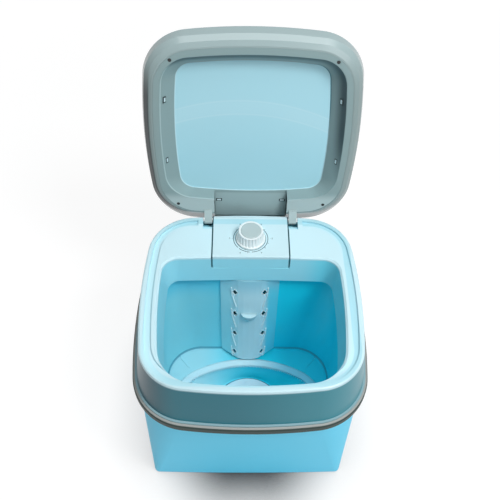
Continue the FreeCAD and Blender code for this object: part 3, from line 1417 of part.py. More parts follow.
def make_lid_shell():
    body = lid_body("lid_shell")
    ceiling = S.window_z + S.window_thick
    loft(body, *lid_sides(body))
    loft(body, belt_outline(lid_sketch(body, S.lid_belt)),
         belt_outline(lid_sketch(body, S.lid_top), -S.lid_top_inset))
    fillet(body, 3, level_edge(lid_z(S.lid_top)))
    thin = -S.lid_wall
    loft(body, *lid_sides(body, thin), cut=True)
    slope = S.lid_top_inset * (ceiling - S.lid_belt) / (S.lid_top - S.lid_belt)
    loft(body, belt_outline(lid_sketch(body, S.lid_belt), thin),
         belt_outline(lid_sketch(body, ceiling), thin - slope), cut=True)
    pocket(body, window_outline(lid_sketch(body, S.lid_top)), S.lid_top - ceiling)
    low = lid_z(S.lid_rest) - 1
    gap_top = lid_z(S.window_z - S.tongue_thick)
    box(body, -S.notch_half_w, S.crest_back - 12 - S.hinge_y, low, S.notch_half_w, S.lid_half_d + 5 - S.hinge_y,
        gap_top, cut=True)
    boss_low = lid_z(S.lid_rest + RING_THICK)
    for x, y in lid_screw_places():
        cylinder(body, S.lid_boss, lid_z(ceiling) + 1 - boss_low, x, y, boss_low)
        cylinder(body, S.lid_screw_r, S.lid_screw_len, x, y, boss_low, cut=True)


def make_lid_frame():
    body = lid_body("lid_frame")
    ring = crest_outline(lid_sketch(body, S.lid_rest), -(S.lid_wall + 0.2))
    pad(body, ring, RING_THICK)
    loft(body, frame_outline(lid_sketch(body, S.lid_rest), S.frame_wall),
         window_outline(lid_sketch(body, S.window_z), S.frame_wall))
    loft(body, frame_outline(lid_sketch(body, S.lid_rest)), window_outline(lid_sketch(body, S.window_z)), cut=True)
    rear = S.window_back - S.hinge_y
    gap_top = lid_z(S.window_z - S.tongue_thick)
    box(body, -S.notch_half_w, rear - 10, lid_z(S.lid_rest) - 1, S.notch_half_w, S.crest_back + 5 - S.hinge_y,
        gap_top, cut=True)
    half = S.notch_half_w - S.fit_gap
    box(body, -half, rear + 0.5, gap_top, half, S.tongue_back - S.hinge_y, lid_z(S.window_z))
    cut_lid_frame_holes(body)
    for side in (-1, 1):
        add_lug(body, side)


LUG_ROOT = 3


def add_lug(body, side):
    """A hinge lug that reaches from the frame's ring back and down to the pin."""
    low_x = S.lug_in if side > 0 else -S.lug_out
    high_x = S.lug_out if side > 0 else -S.lug_in
    top = lid_z(S.lid_rest + RING_THICK) - 0.1
    under = lid_z(S.lid_rest) - 0.1
    bowed = S.lug_out * S.lug_out / (S.lid_bow * 2)
    heel = S.crest_back - bowed - S.lid_wall - 0.5 - S.hinge_y
    sk = polygon(sketch(body, "YZ_Plane", z=low_x), [
        (heel - LUG_ROOT, top), (heel, top), (heel, under), (0, under), (0, -S.lug_radius), (heel - LUG_ROOT, 1)])
    pad(body, sk, S.lug_out - S.lug_in)
    cylinder_x(body, S.lug_radius, low_x, high_x)
    cylinder_x(body, S.hinge_pin + S.hinge_gap, low_x - 1, high_x + 1, cut=True)


def cut_lid_frame_holes(body):
    """Screw seats in the ring and the slots that the window's clips snap into."""
    low = lid_z(S.lid_rest)
    for x, y in lid_screw_places():
        cylinder(body, S.lid_screw_head + 0.2, S.lid_screw_head_h, x, y, low, cut=True)
        cylinder(body, S.lid_screw_r, RING_THICK, x, y, low, cut=True)
    for corner_a, corner_b in clip_blocks(0.2):
        box(body, *corner_a, *corner_b, cut=True)


def clip_blocks(grow):
    """Opposite corners of the six window clips, grown by a gap."""
    low = lid_z(S.clip_low)
    blocks = []
    for side in (-1, 1):
        for y in (S.clip_front_y, S.clip_back_y):
            x0 = S.clip_in if side > 0 else -(S.clip_in + S.clip_long)
            y0 = y - S.clip_half_w - S.hinge_y
            blocks.append(((x0, y0 - grow, low - grow),
                           (x0 + S.clip_long, y0 + 2 * S.clip_half_w + grow, low + S.clip_tall + grow)))
        x = side * S.clip_rear_x
        y0 = S.clip_rear_y - S.hinge_y
        under = lid_z(S.window_z - S.tongue_thick)
        blocks.append(((x - S.clip_half_w - grow, y0 - grow, under - 1),
                       (x + S.clip_half_w + grow, y0 + S.clip_rear_t + grow, under + S.tongue_thick + 0.5)))
    return blocks


def make_lid_window():
    body = lid_body("lid_window")
    pad(body, window_outline(lid_sketch(body, S.window_z), S.window_lap), S.window_thick)


def make_lid_fixings():
    body = lid_body("lid_screws")
    low = lid_z(S.lid_rest)
    shank = RING_THICK - S.lid_screw_head_h + S.lid_screw_len
    for x, y in lid_screw_places():
        cylinder(body, S.lid_screw_head, S.lid_screw_head_h, x, y, low)
        cylinder(body, S.lid_screw_r, shank, x, y, low + S.lid_screw_head_h)
    body = lid_body("window_clips")
    for corner_a, corner_b in clip_blocks(0):
        box(body, *corner_a, *corner_b)


def make_hinge_pins():
    body = new_body("hinge_pins")
    inner = S.panel_half_w + S.panel_gap + S.fit_gap
    outer = S.notch_out + S.notch_wall
    cylinder_x(body, S.hinge_pin, inner, outer, S.hinge_y, Z_HINGE)
    cylinder_x(body, S.hinge_pin, -outer, -inner, S.hinge_y, Z_HINGE)


def make_tub_screws():
    body = new_body("tub_screws")
    seat = Z_PLATE - S.ear_thick
    for x, y in TUB_SCREWS:
        cylinder(body, S.screw_head, S.screw_head_h, x, y, seat - S.screw_head_h)
        cylinder(body, S.screw_radius, S.tub_screw_len, x, y, seat)


def finish():
    """Check every object and write one file for each node."""
    doc.recompute()
    for item in doc.Objects:
        if "Invalid" in item.State or "Error" in item.State:
            raise RuntimeError("%s is %s" % (item.Label, item.State))
    os.makedirs("parts", exist_ok=True)
    for body in NODES:
        shape = body.Shape
        if shape.isNull() or not shape.isValid():
            raise RuntimeError("%s has no valid shape" % body.Label)
        shape.exportStep("parts/%s.step" % body.Label)


make_foot_ring()
make_base_tray()
make_tray_screws()
make_cabinet()
make_trim_band()
make_collar()
make_control_panel()
make_wash_tub()
make_lint_filter()
make_filter_latch()
make_floor_ring()
make_bearing_housing()
make_housing_gasket()
make_housing_screws()
make_shaft_bearings()
make_main_shaft()
make_pulsator()
make_pulsator_trim()
make_driven_pulley()
make_pulley_nut()
make_shaft_ring()
make_drive_belt()
make_motor_shields()
make_motor_stator()
make_motor_bearings()
make_motor_bolts()
make_rotor()
make_motor_bracket()
make_bracket_fixings()
make_capacitor()
make_timer()
make_knob()
make_wiring()
make_drain_hose()
make_drain_spigot()
make_cord_gland()
make_lid_shell()
make_lid_frame()
make_lid_window()
make_lid_fixings()
make_hinge_pins()
make_tub_screws()
finish()
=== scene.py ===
# %% [markdown]
# # A small top-loading washing machine with its lid open
#
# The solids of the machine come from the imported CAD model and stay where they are. This lesson
# dresses them: it gives every solid a finish, adds the small shapes that moulders and printers
# add, and sets up the camera, the floor and the light. Lengths are in metres, the floor is at
# z = 0 and the front of the machine faces -Y.

# %% Load the solids
import json
import math

import bmesh
import bpy
from mathutils import Matrix, Vector


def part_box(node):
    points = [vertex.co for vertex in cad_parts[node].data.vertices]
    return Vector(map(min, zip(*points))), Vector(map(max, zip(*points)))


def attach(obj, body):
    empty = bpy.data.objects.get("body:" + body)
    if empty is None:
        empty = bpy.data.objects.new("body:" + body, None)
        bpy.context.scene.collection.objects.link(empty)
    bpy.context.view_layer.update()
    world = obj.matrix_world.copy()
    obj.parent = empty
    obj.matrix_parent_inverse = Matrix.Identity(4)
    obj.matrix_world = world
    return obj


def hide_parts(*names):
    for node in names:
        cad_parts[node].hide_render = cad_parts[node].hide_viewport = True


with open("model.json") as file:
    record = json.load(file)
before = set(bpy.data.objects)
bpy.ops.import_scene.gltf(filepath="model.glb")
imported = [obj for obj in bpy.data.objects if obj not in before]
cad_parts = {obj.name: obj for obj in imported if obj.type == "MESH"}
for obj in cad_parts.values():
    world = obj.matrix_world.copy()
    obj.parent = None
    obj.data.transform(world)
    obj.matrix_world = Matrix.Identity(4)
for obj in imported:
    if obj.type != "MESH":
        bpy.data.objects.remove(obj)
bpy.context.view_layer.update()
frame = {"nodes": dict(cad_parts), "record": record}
nodes = frame["nodes"]

# %% [markdown]
# ## Shader sums
#
# A finish is a small network of nodes. Drawing it link by link hides the idea, so a socket is
# wrapped in a class that knows how to add and multiply. An expression such as `1 - mask * 0.3`
# then makes its own Math nodes. Every other node comes from the one method `node`.

# %% Sockets that can be added and multiplied
class Wire:
    """An output socket of a finish."""

    def __init__(self, finish, socket):
        self.finish = finish
        self.socket = socket

    def sum(self, operation, left, right):
        return self.finish.node("ShaderNodeMath", {"operation": operation}, {0: left, 1: right})

    def __add__(self, other):
        return self.sum("ADD", self, other)

    def __radd__(self, other):
        return self.sum("ADD", other, self)

    def __sub__(self, other):
        return self.sum("SUBTRACT", self, other)

    def __rsub__(self, other):
        return self.sum("SUBTRACT", other, self)

    def __mul__(self, other):
        return self.sum("MULTIPLY", self, other)

    def __rmul__(self, other):
        return self.sum("MULTIPLY", other, self)


class Finish:
    """A material or a room under construction."""

    def __init__(self, owner):
        self.owner = owner
        owner.use_nodes = True
        self.tree = owner.node_tree
        self.tree.nodes.clear()

    def node(self, kind, settings=None, sockets=None, out=0):
        item = self.tree.nodes.new(kind)
        for key, value in (settings or {}).items():
            setattr(item, key, value)
        for key, value in (sockets or {}).items():
            if isinstance(value, Wire):
                self.tree.links.new(value.socket, item.inputs[key])
            else:
                item.inputs[key].default_value = value
        return Wire(self, item.outputs[out])

    def place(self):
        return self.node("ShaderNodeTexCoord", out="Object")

    def axis(self, index):
        """The x, y or z of the place on the solid."""
        return self.node("ShaderNodeSeparateXYZ", None, {0: self.place()}, out=index)

    def noise(self, scale, detail=2.0, vector=None):
        spot = vector or self.place()
        return self.node("ShaderNodeTexNoise", None,
                         {"Vector": spot, "Scale": scale, "Detail": detail})

    def blend(self, factor, one, two):
        return self.node("ShaderNodeMix", {"data_type": "RGBA"}, {0: factor, 6: one, 7: two}, out=2)

    def step(self, value, low, high):
        """A soft step from 0 at low to 1 at high."""
        return self.node("ShaderNodeMapRange", {"interpolation_type": "SMOOTHSTEP"},
                         {"Value": value, "From Min": low, "From Max": high})

    def vector(self, operation, *values, out=0):
        return self.node("ShaderNodeVectorMath", {"operation": operation},
                         dict(enumerate(values)), out=out)

    def absolute(self, value):
        return self.node("ShaderNodeMath", {"operation": "ABSOLUTE"}, {0: value})

    def bump(self, height, distance):
        return self.node("ShaderNodeBump", None,
                         {"Height": height, "Distance": distance, "Strength": 1.0})

    def shade(self, shader, end="ShaderNodeOutputMaterial"):
        self.tree.links.new(shader.socket, self.tree.nodes.new(end).inputs[0])
        return self.owner


def tone(colour, gain):
    return tuple(min(1.0, c * gain) for c in colour) + (1.0,)


def new_paint(name):
    return Finish(bpy.data.materials.new(name))


print("shader helpers ready")

# %% [markdown]
# ## Moulded plastic
#
# Most of the machine is glossy injection-moulded plastic. A real moulding isn't one flat colour:
# the pigment drifts a little over a hand's width, the gloss changes where it was handled, and the
# surface has a faint orange peel. Three noises at those three sizes give this.

# %% Plastic finishes
DRIFT_SCALE = 9.0
GLOSS_SCALE = 35.0
GLOSS_SPREAD = 0.05
PEEL_SCALE = 500.0


def plastic(name, colour, roughness, peel=0.00002, drift=0.04, coat=0.15, second=None, shine=0.5):
    """Moulded plastic; second(paint) lists masks and the colours that show where they are 1.

    The clear coat is taken off where the last of these masks is 1.
    """
    paint = new_paint(name)
    cloud = paint.noise(DRIFT_SCALE)
    base = paint.blend(cloud, tone(colour, 1 - drift), tone(colour, 1 + drift))
    film = coat
    for mask, other in second(paint) if second else ():
        shade = paint.blend(cloud, tone(other, 1 - drift), tone(other, 1 + drift))
        base = paint.blend(mask, base, shade)
        film = (1 - mask) * coat
    gloss = roughness - GLOSS_SPREAD / 2 + paint.noise(GLOSS_SCALE, 3.0) * GLOSS_SPREAD
    normal = paint.bump(paint.noise(PEEL_SCALE, 1.0), peel)
    return paint.shade(paint.node("ShaderNodeBsdfPrincipled", None, {
        "Base Color": base, "Roughness": gloss, "Normal": normal, "Coat Weight": film,
        "Coat Roughness": 0.08, "IOR": 1.48, "Specular IOR Level": shine}))


finishes = {
    "cabinet_blue": plastic("cabinet_blue", (0.12, 0.68, 0.95), 0.5, drift=0.02, coat=0.0,
                            shine=0.3),
    "scallop_highlight": plastic("scallop_highlight", (0.76, 0.91, 0.95), 0.36),
    "latch_blue": plastic("latch_blue", (0.47, 0.68, 0.74), 0.36),
    "pulsator_blue": plastic("pulsator_blue", (0.56, 0.76, 0.84), 0.32),
    "clip_grey": plastic("clip_grey", (0.52, 0.68, 0.72), 0.40),
    "gap_shade_dark": plastic("gap_shade_dark", (0.03, 0.05, 0.055), 0.6, coat=0.0),
    "knob_white": plastic("knob_white", (0.74, 0.82, 0.835), 0.34),
    "knob_grey": plastic("knob_grey", (0.42, 0.52, 0.53), 0.40),
    "tray_grey": plastic("tray_grey", (0.08, 0.085, 0.09), 0.5, peel=0.00005),
    "wire_sheath": plastic("wire_sheath", (0.02, 0.02, 0.022), 0.5, peel=0.00005),
    "foot_black": plastic("foot_black", (0.016, 0.016, 0.017), 0.7, peel=0.0001, coat=0.0),
    "dial_ink_and_shade": plastic("dial_ink_and_shade", (0.015, 0.085, 0.11), 0.5, peel=0.00001),
}
print("plastics:", len(finishes))

# %% [markdown]
# ## The collar's tones and painted shade
#
# The collar is one pale moulding, and most of the changes in its colour are painted light and
# shade.
# Its outer skirt is painted a dark grey blue as painted shade, darkest on the left and less dark on
# the right. Its mouth has a clearer blue than the rim and is painted deeper on the right as painted
# shade. The front of the rim is painted a little darker as painted shade. The rim's groove is
# painted darker as painted shade and paler on its left as a painted highlight. The slits beside the
# panel carry a painted shadow. The rim, the hinge notches and the thin flange at the bottom are
# kept out of the skirt's shade, and the flange has a grey of its own. The masks are worked out from
# how far a point is from the collar's rounded outline, and how high it is. A painted highlight runs
# along the top of the trim band below.

# %% Collar finish
SKIRT_CORE = (0.096, 0.089, 0.0)
SKIRT_RADIUS = 0.074
SKIRT_EDGE = (SKIRT_RADIUS - 0.018, SKIRT_RADIUS - 0.014)
CHANNEL = (SKIRT_RADIUS - 0.0205, SKIRT_RADIUS - 0.0095)
RIM_EDGE = (0.3865, 0.3825)
FLANGE_EDGE = (0.3062, 0.3072)
FLANGE_TOP = (0.3066, 0.3058)
CHANNEL_FLOOR = (0.3845, 0.3855)
SLIT = (0.0615, 0.0638)
NOTCH = (0.0580, 0.0797)
NOTCH_FLOOR = (0.3722, 0.3727)
NOTCH_FRONT = (0.125, 0.130)
panel_low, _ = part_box("control_panel")


def within(paint, value, low, high, soft):
    """1 where a value is between low and high, with soft edges."""
    return paint.step(value, low - soft, low + soft) * paint.step(value, high + soft, high - soft)


def skirt_paint(paint):
    flat = paint.vector("MULTIPLY", paint.place(), (1, 1, 0))
    past = paint.vector("SUBTRACT", paint.vector("ABSOLUTE", flat), SKIRT_CORE)
    reach = paint.vector("LENGTH", paint.vector("MAXIMUM", past, (0, 0, 0)), out="Value")
    x, y, z = (paint.axis(index) for index in range(3))
    across = paint.absolute(x)
    notch = within(paint, across, *NOTCH, 0.0002) * paint.step(z, *NOTCH_FLOOR)
    notch = notch * paint.step(y, *NOTCH_FRONT)
    outer = paint.step(reach, *SKIRT_EDGE) * (1 - notch)
    below = paint.step(z, *RIM_EDGE)
    foot = paint.step(z, *FLANGE_TOP)
    channel = within(paint, reach, *CHANNEL, 0.001) * paint.step(z, *CHANNEL_FLOOR)
    beside = paint.step(y, panel_low[1] - 0.001, panel_low[1])
    beside = beside * paint.step(z, panel_low[2], panel_low[2] + 0.001)
    slit = within(paint, across, *SLIT, 0.00015) * beside
    front = paint.step(y, -0.11, -0.145)
    panel = paint.step(across, SLIT[0], SLIT[0] - 0.0005) * beside
    skirt = outer * below * paint.step(z, *FLANGE_EDGE)
    mouth = (1 - outer) * below
    left = paint.step(x, -0.11, -0.16)
    # Painted shade: the front of the rim is painted a little darker to tone down the front lamp's
    # light.
    return ((front, (0.51, 0.715, 0.78)),
            (panel, (0.555, 0.75, 0.81)),
            # Painted shade: the skirt's dark grey blue, less dark on the right and darkest on the
            # left.
            (skirt, (0.021, 0.165, 0.215)),
            (skirt * paint.step(x, -0.05, 0.15), (0.045, 0.25, 0.31)),
            (skirt * left, (0.004, 0.08, 0.115)),
            (mouth, (0.33, 0.74, 0.86)),
            # Painted shade: the mouth is a deeper blue on its right side.
            (mouth * paint.step(x, 0.08, 0.12), (0.20, 0.72, 0.86)),
            (outer * foot, (0.20, 0.34, 0.38)),
            # Painted shade in the rim's groove, and a painted highlight on its left side.
            (channel, (0.41, 0.69, 0.775)),
            (channel * left, (0.53, 0.80, 0.875)),
            # Painted shadow: a dark line in the slits beside the panel, reaching a little onto the
            # deck.
            (slit, (0.03, 0.11, 0.14)))


# Painted highlight: the top of the trim band is painted a pale grey.
def worn_edge(paint):
    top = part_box("trim_band")[1][2]
    return (paint.step(paint.axis(2), top - 0.0021, top - 0.0008), (0.33, 0.35, 0.34)),


finishes["band_grey"] = plastic("band_grey", (0.035, 0.055, 0.05), 0.45, coat=0.0,
                                second=worn_edge, shine=0.15)
finishes["collar_pale"] = plastic("collar_pale", (0.57, 0.79, 0.86), 0.32, drift=0.02, coat=0.05,
                                  second=skirt_paint, shine=0.2)
print("collar finish ready")

# %% [markdown]
# ## The tub's painted shade
#
# Inside, the tub is a clean mid blue with a paler floor. It is painted deeper from the left to the
# right as painted shade, and deeper in a band below the funnel's lip as painted shade. Where its
# wall meets the floor, and round the pulsator, a narrow dark line of painted shade runs in the
# crease. A ray dropped on the floor beside the filter finds how high the corner is, and the lines
# are masks on the height above it and on the distance from the axis. The lint filter is painted
# darker at its sides and top, and the floor ring darker on its right, both as painted shade.

# %% Tub finish
FLOOR_SPOT = Vector((0.115, 0.06, 0.3))
tub_floor = nodes["wash_tub"].ray_cast(FLOOR_SPOT, Vector((0, 0, -1)))[1].z
dish_low, dish_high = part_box("pulsator")
dish_radius = (dish_high[0] - dish_low[0]) / 2
dish_middle = ((dish_low[0] + dish_high[0]) / 2, (dish_low[1] + dish_high[1]) / 2, 0)


def corner_line(paint):
    z = paint.axis(2)
    corner = within(paint, z, tub_floor + 0.0010, tub_floor + 0.0038, 0.0007)
    off = paint.vector("SUBTRACT", paint.place(), dish_middle)
    away = paint.vector("LENGTH", paint.vector("MULTIPLY", off, (1, 1, 0)), out="Value")
    low = paint.step(z, tub_floor - 0.001, tub_floor - 0.003)
    round_dish = paint.step(away, dish_radius + 0.0045, dish_radius + 0.0030) * low
    right = paint.step(paint.axis(0), -0.10, 0.05)
    ground = paint.step(z, tub_floor + 0.004, tub_floor + 0.001)
    return ((ground, (0.37, 0.72, 0.81)),
            # Painted shade: a deeper blue below the funnel's lip, and on the right side and its
            # floor.
            (paint.step(z, 0.265, 0.325) * 0.7, (0.05, 0.64, 0.88)),
            (right, (0.012, 0.78, 0.98)),
            (right * ground, (0.005, 0.62, 0.80)),
            # Painted shade: a narrow dark line in the crease at the foot of the wall and round the
            # pulsator.
            (corner * 0.75, (0.02, 0.22, 0.33)),
            (round_dish * 0.85, (0.01, 0.13, 0.20)))


def flanks(paint):
    # Painted shade: the filter is darker on its sides than on its bulging middle, most on the
    # right, and darker at its top under the deck.
    return ((paint.step(paint.axis(0), 0.024, 0.036), (0.15, 0.74, 0.90)),
            (paint.step(paint.axis(0), -0.026, -0.036), (0.46, 0.86, 0.94)),
            (paint.step(paint.axis(2), 0.285, 0.330) * 0.8, (0.28, 0.63, 0.76)))


def ring_side(paint):
    # Painted shade: the floor ring is darker on its right.
    return (paint.step(paint.axis(0), -0.02, 0.10), (0.24, 0.66, 0.80)),


finishes["tub_blue"] = plastic("tub_blue", (0.30, 0.79, 0.89), 0.40, second=corner_line,
                               shine=0.35)
finishes["ring_white"] = plastic("ring_white", (0.58, 0.81, 0.88), 0.34, second=ring_side)
finishes["filter_blue"] = plastic("filter_blue", (0.64, 0.87, 0.93), 0.46, peel=0.00004,
                                  second=flanks, shine=0.4)
print("tub floor at", round(tub_floor, 4))

# %% [markdown]
# ## The lid's greys
#
# The lid is one grey with light and shade painted on it. A painted highlight runs along the top
# edge, over the flat at the hinge and the tongue, and along the edge of the flat on the left.
# Painted shade lies on the outer left side and deep in the corner round the window on the right and
# at the top. Round the window's edge runs a dark line of painted shade on the right and at the top,
# and a pale painted highlight on the left and at the bottom. How deep a point is in the lid is its
# distance along the lid's own normal.

# %% Lid finishes
LID_COS = 0.980
LID_SIN = 0.198
LID_FLAT = -0.0780
LID_PANE = -0.1032


def lid_depth(paint):
    return paint.axis(2) * LID_SIN - paint.axis(1) * LID_COS


def shell_greys(paint):
    x, z, depth = paint.axis(0), paint.axis(2), lid_depth(paint)
    top = paint.step(z, 0.61, 0.69)
    side = paint.step(x, -0.10, -0.14) * paint.step(z, 0.66, 0.60)
    left = side * within(paint, depth, LID_FLAT - 0.0160, LID_FLAT - 0.0018, 0.0008)
    # Painted highlight along the top edge; painted shade on the outer left side of the shell.
    return (top, (0.29, 0.385, 0.395)), (left, (0.03, 0.045, 0.05))


def frame_greys(paint):
    x, z, depth = paint.axis(0), paint.axis(2), lid_depth(paint)
    right = paint.step(x + (z - 0.55) * 0.4, 0.095, 0.135)
    right = right.sum("MAXIMUM", right, paint.step(z, 0.645, 0.66))
    wall = paint.step(depth, LID_FLAT - 0.0003, LID_FLAT - 0.0012)
    shade = wall * right * paint.step(depth, LID_PANE + 0.005, LID_FLAT - 0.004)
    low = paint.step(z, 0.440, 0.424) * (1 - wall)
    tongue = paint.step(z, 0.421, 0.418) * within(paint, depth, -0.1010, -0.0990, 0.0003)
    pane_edge = paint.step(depth, -0.1012, -0.1020)
    edge = within(paint, depth, LID_FLAT - 0.0022, LID_FLAT - 0.0008, 0.0004)
    # Painted highlight: the low flat and its corners, the tongue, and the flat's edge on the left.
    # Painted shade: the right and top walls, and the window's edge on the right and at the top;
    # that edge is a pale painted highlight on the left and at the bottom.
    return ((low, (0.38, 0.49, 0.50)),
            (tongue, (0.30, 0.42, 0.435)),
            (edge * paint.step(x, 0.0, -0.06), (0.36, 0.48, 0.49)),
            (shade * 0.9, (0.022, 0.046, 0.056)),
            (pane_edge * right, (0.04, 0.17, 0.22)),
            (pane_edge * (1 - right), (0.46, 0.66, 0.72)))


finishes["lid_pale"] = plastic("lid_pale", (0.21, 0.29, 0.295), 0.24, drift=0.03, coat=0.30,
                               second=shell_greys)
finishes["lid_inner"] = plastic("lid_inner", (0.235, 0.335, 0.345), 0.36, drift=0.03, coat=0.05,
                                second=frame_greys, shine=0.3)
print("lid finishes ready")

# %% [markdown]
# ## Metal
#
# Screws, shafts and bearings inside the cabinet are plain metal. Turned steel has fine rings
# round its axis and cast alloy a sandy skin. Both come from a stretched or a fine noise that
# feeds the roughness and a small bump.

# %% Metal finishes
LINE_SCALE = 160.0
LINE_SPREAD = 0.16
GRIT_SCALE = 400.0


def metal(name, colour, roughness, stretch, depth):
    paint = new_paint(name)
    spot = paint.node("ShaderNodeMapping", None, {"Vector": paint.place(), "Scale": stretch})
    lines = paint.noise(LINE_SCALE, 3.0, spot)
    base = paint.blend(lines, tone(colour, 0.86), tone(colour, 1.1))
    return paint.shade(paint.node("ShaderNodeBsdfPrincipled", None, {
        "Base Color": base, "Metallic": 1.0, "Normal": paint.bump(lines, depth),
        "Roughness": roughness - LINE_SPREAD / 2 + lines * LINE_SPREAD}))


def painted_steel(name, colour):
    paint = new_paint(name)
    grit = paint.noise(GRIT_SCALE)
    base = paint.blend(paint.noise(12.0), tone(colour, 0.9), tone(colour, 1.15))
    return paint.shade(paint.node("ShaderNodeBsdfPrincipled", None, {
        "Base Color": base, "Roughness": 0.4 + grit * 0.15, "Normal": paint.bump(grit, 0.00004)}))


finishes["screw_steel"] = metal("screw_steel", (0.56, 0.57, 0.58), 0.32, (1, 1, 14), 0.00002)
finishes["shaft_steel"] = metal("shaft_steel", (0.50, 0.50, 0.51), 0.28, (1, 1, 20), 0.00001)
finishes["bush_brass"] = metal("bush_brass", (0.66, 0.47, 0.20), 0.30, (1, 1, 20), 0.00001)
finishes["cast_alloy"] = metal("cast_alloy", (0.60, 0.61, 0.62), 0.46, (3, 3, 3), 0.00006)
finishes["bracket_paint"] = painted_steel("bracket_paint", (0.03, 0.032, 0.035))
finishes["screw_black"] = painted_steel("screw_black", (0.012, 0.013, 0.014))
print("finishes:", len(finishes))

# %% [markdown]
# ## The clear pane
#
# The lid's window is a thin sheet of blue-tinted clear plastic. Against a white room it looks
# almost solid pale blue, so most of it is a glossy tinted sheet and a share of it lets what is
# behind show through. Two faint arcs of painted reflection, with a slightly paler band between
# them, cross it.

# %% Window finish
ARC_BOW = 1.6
ARC_MIDDLE = 0.0175
ARC_HEIGHTS = (0.583, 0.561)
ARC_SOFT = 0.004
REFLECTION_WHITE = (0.78, 0.90, 0.94, 1.0)


def clear_pane(name, colour):
    paint = new_paint(name)
    off = paint.axis(0) + ARC_MIDDLE
    level = paint.axis(2) + off * off * ARC_BOW
    reflection_arcs = 0.0
    for height in ARC_HEIGHTS:
        reflection_arcs = paint.step(paint.absolute(level - height), 0.0024, 0.0003) + reflection_arcs
    between = paint.step(level, ARC_HEIGHTS[1], ARC_HEIGHTS[1] + ARC_SOFT)
    between = between * paint.step(level, ARC_HEIGHTS[0], ARC_HEIGHTS[0] - ARC_SOFT)
    # The two arcs and the band between them are a painted reflection; the noise is a random change
    # of tint.
    share = reflection_arcs * 0.16 + between * 0.07 + paint.noise(7.0) * 0.08
    base = paint.blend(share, tone(colour, 1.0), REFLECTION_WHITE)
    gloss = 0.26 + paint.noise(30.0, 3.0) * 0.06
    return paint.shade(paint.node("ShaderNodeBsdfPrincipled", None, {
        "Base Color": base, "Roughness": gloss, "Alpha": 0.92, "IOR": 1.49, "Coat Weight": 0.1,
        "Coat Roughness": 0.2}))


finishes["window_clear"] = clear_pane("window_clear", (0.385, 0.71, 0.815))
for row in frame["record"]["subparts"]:
    mesh = nodes[row["node"]].data
    mesh.materials.clear()
    mesh.materials.append(finishes[row["material_slot"]])
nodes["lid_frame"].data.materials[0] = finishes["lid_inner"]

# %% [markdown]
# ## Modelling helpers
#
# The pieces below are modelled as by hand: a primitive is put at its size and place, its faces
# are chosen by where they are or which way they look, and operators act on the choice. These
# helpers start a piece, choose faces, apply a modifier, and hand the piece over to the body that
# carries it.

# %% Start, choose, modify, settle
def start(name, add, size=(1, 1, 1), **shape):
    """Adds a primitive, stretched to a size, and opens it for editing."""
    bpy.ops.object.select_all(action="DESELECT")
    add(**shape)
    piece = bpy.context.object
    piece.name = name
    piece.data.name = name
    piece.scale = size
    bpy.ops.object.transform_apply(location=True, rotation=True, scale=True)
    bpy.ops.object.mode_set(mode="EDIT")
    bpy.ops.mesh.select_mode(type="FACE")
    return piece


def pick(piece, wanted):
    """Selects the faces for which wanted(middle, normal) holds."""
    bpy.ops.mesh.select_all(action="DESELECT")
    shape = bmesh.from_edit_mesh(piece.data)
    chosen = [face for face in shape.faces if wanted(face.calc_center_median(), face.normal)]
    for face in chosen:
        face.select_set(True)
    bmesh.update_edit_mesh(piece.data)
    return len(chosen)


def extrude(step):
    bpy.ops.mesh.extrude_region_move(TRANSFORM_OT_translate={"value": step})


def modify(piece, kind, **settings):
    """Adds a modifier and applies it at once."""
    bpy.ops.object.mode_set(mode="OBJECT")
    item = piece.modifiers.new(kind.lower(), kind)
    for key, value in settings.items():
        setattr(item, key, value)
    bpy.ops.object.modifier_apply(modifier=item.name)


def bevel(piece, width, degrees):
    """Rounds the edges that turn by more than some degrees."""
    modify(piece, "BEVEL", width=width, segments=2, limit_method="ANGLE",
           angle_limit=math.radians(degrees))


def copy_of(piece, name, matrix):
    """A copy with a mesh of its own, moved by a matrix."""
    twin = piece.copy()
    twin.data = piece.data.copy()
    twin.name = name
    twin.data.transform(matrix)
    bpy.context.scene.collection.objects.link(twin)
    return twin


def join(pieces, name):
    """Makes one piece of several."""
    bpy.ops.object.select_all(action="DESELECT")
    for piece in pieces:
        piece.select_set(True)
    bpy.context.view_layer.objects.active = pieces[0]
    bpy.ops.object.join()
    whole = bpy.context.object
    whole.name = name
    whole.data.name = name
    return whole


SMOOTH_ANGLE = math.radians(35)


def settle(piece, slot, body, *stands_for, finish=None):
    """Smooths a piece, gives it its finish and sets it on its body."""
    bpy.ops.object.mode_set(mode="OBJECT")
    bpy.ops.object.select_all(action="DESELECT")
    piece.select_set(True)
    bpy.context.view_layer.objects.active = piece
    bpy.ops.object.shade_smooth_by_angle(angle=SMOOTH_ANGLE)
    piece.data.materials.clear()
    piece.data.materials.append(finishes[finish or slot])
    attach(piece, body)
    if stands_for:
        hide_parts(*stands_for)
    print(piece.name, "faces:", len(piece.data.polygons))


def middle(low, high):
    return [(a + b) / 2 for a, b in zip(low, high)]


print("modelling helpers ready")

# %% [markdown]
# ## The knob's grip
#
# The timer knob is a white cup with a rolled foot and flutes that keep wet fingers from slipping.
# A cylinder with many sides becomes the foot. Its top face is inset, drawn up and narrowed into
# the cup, pairs of side faces are sunk into flutes, and the top is sunk to seat the grey cap.

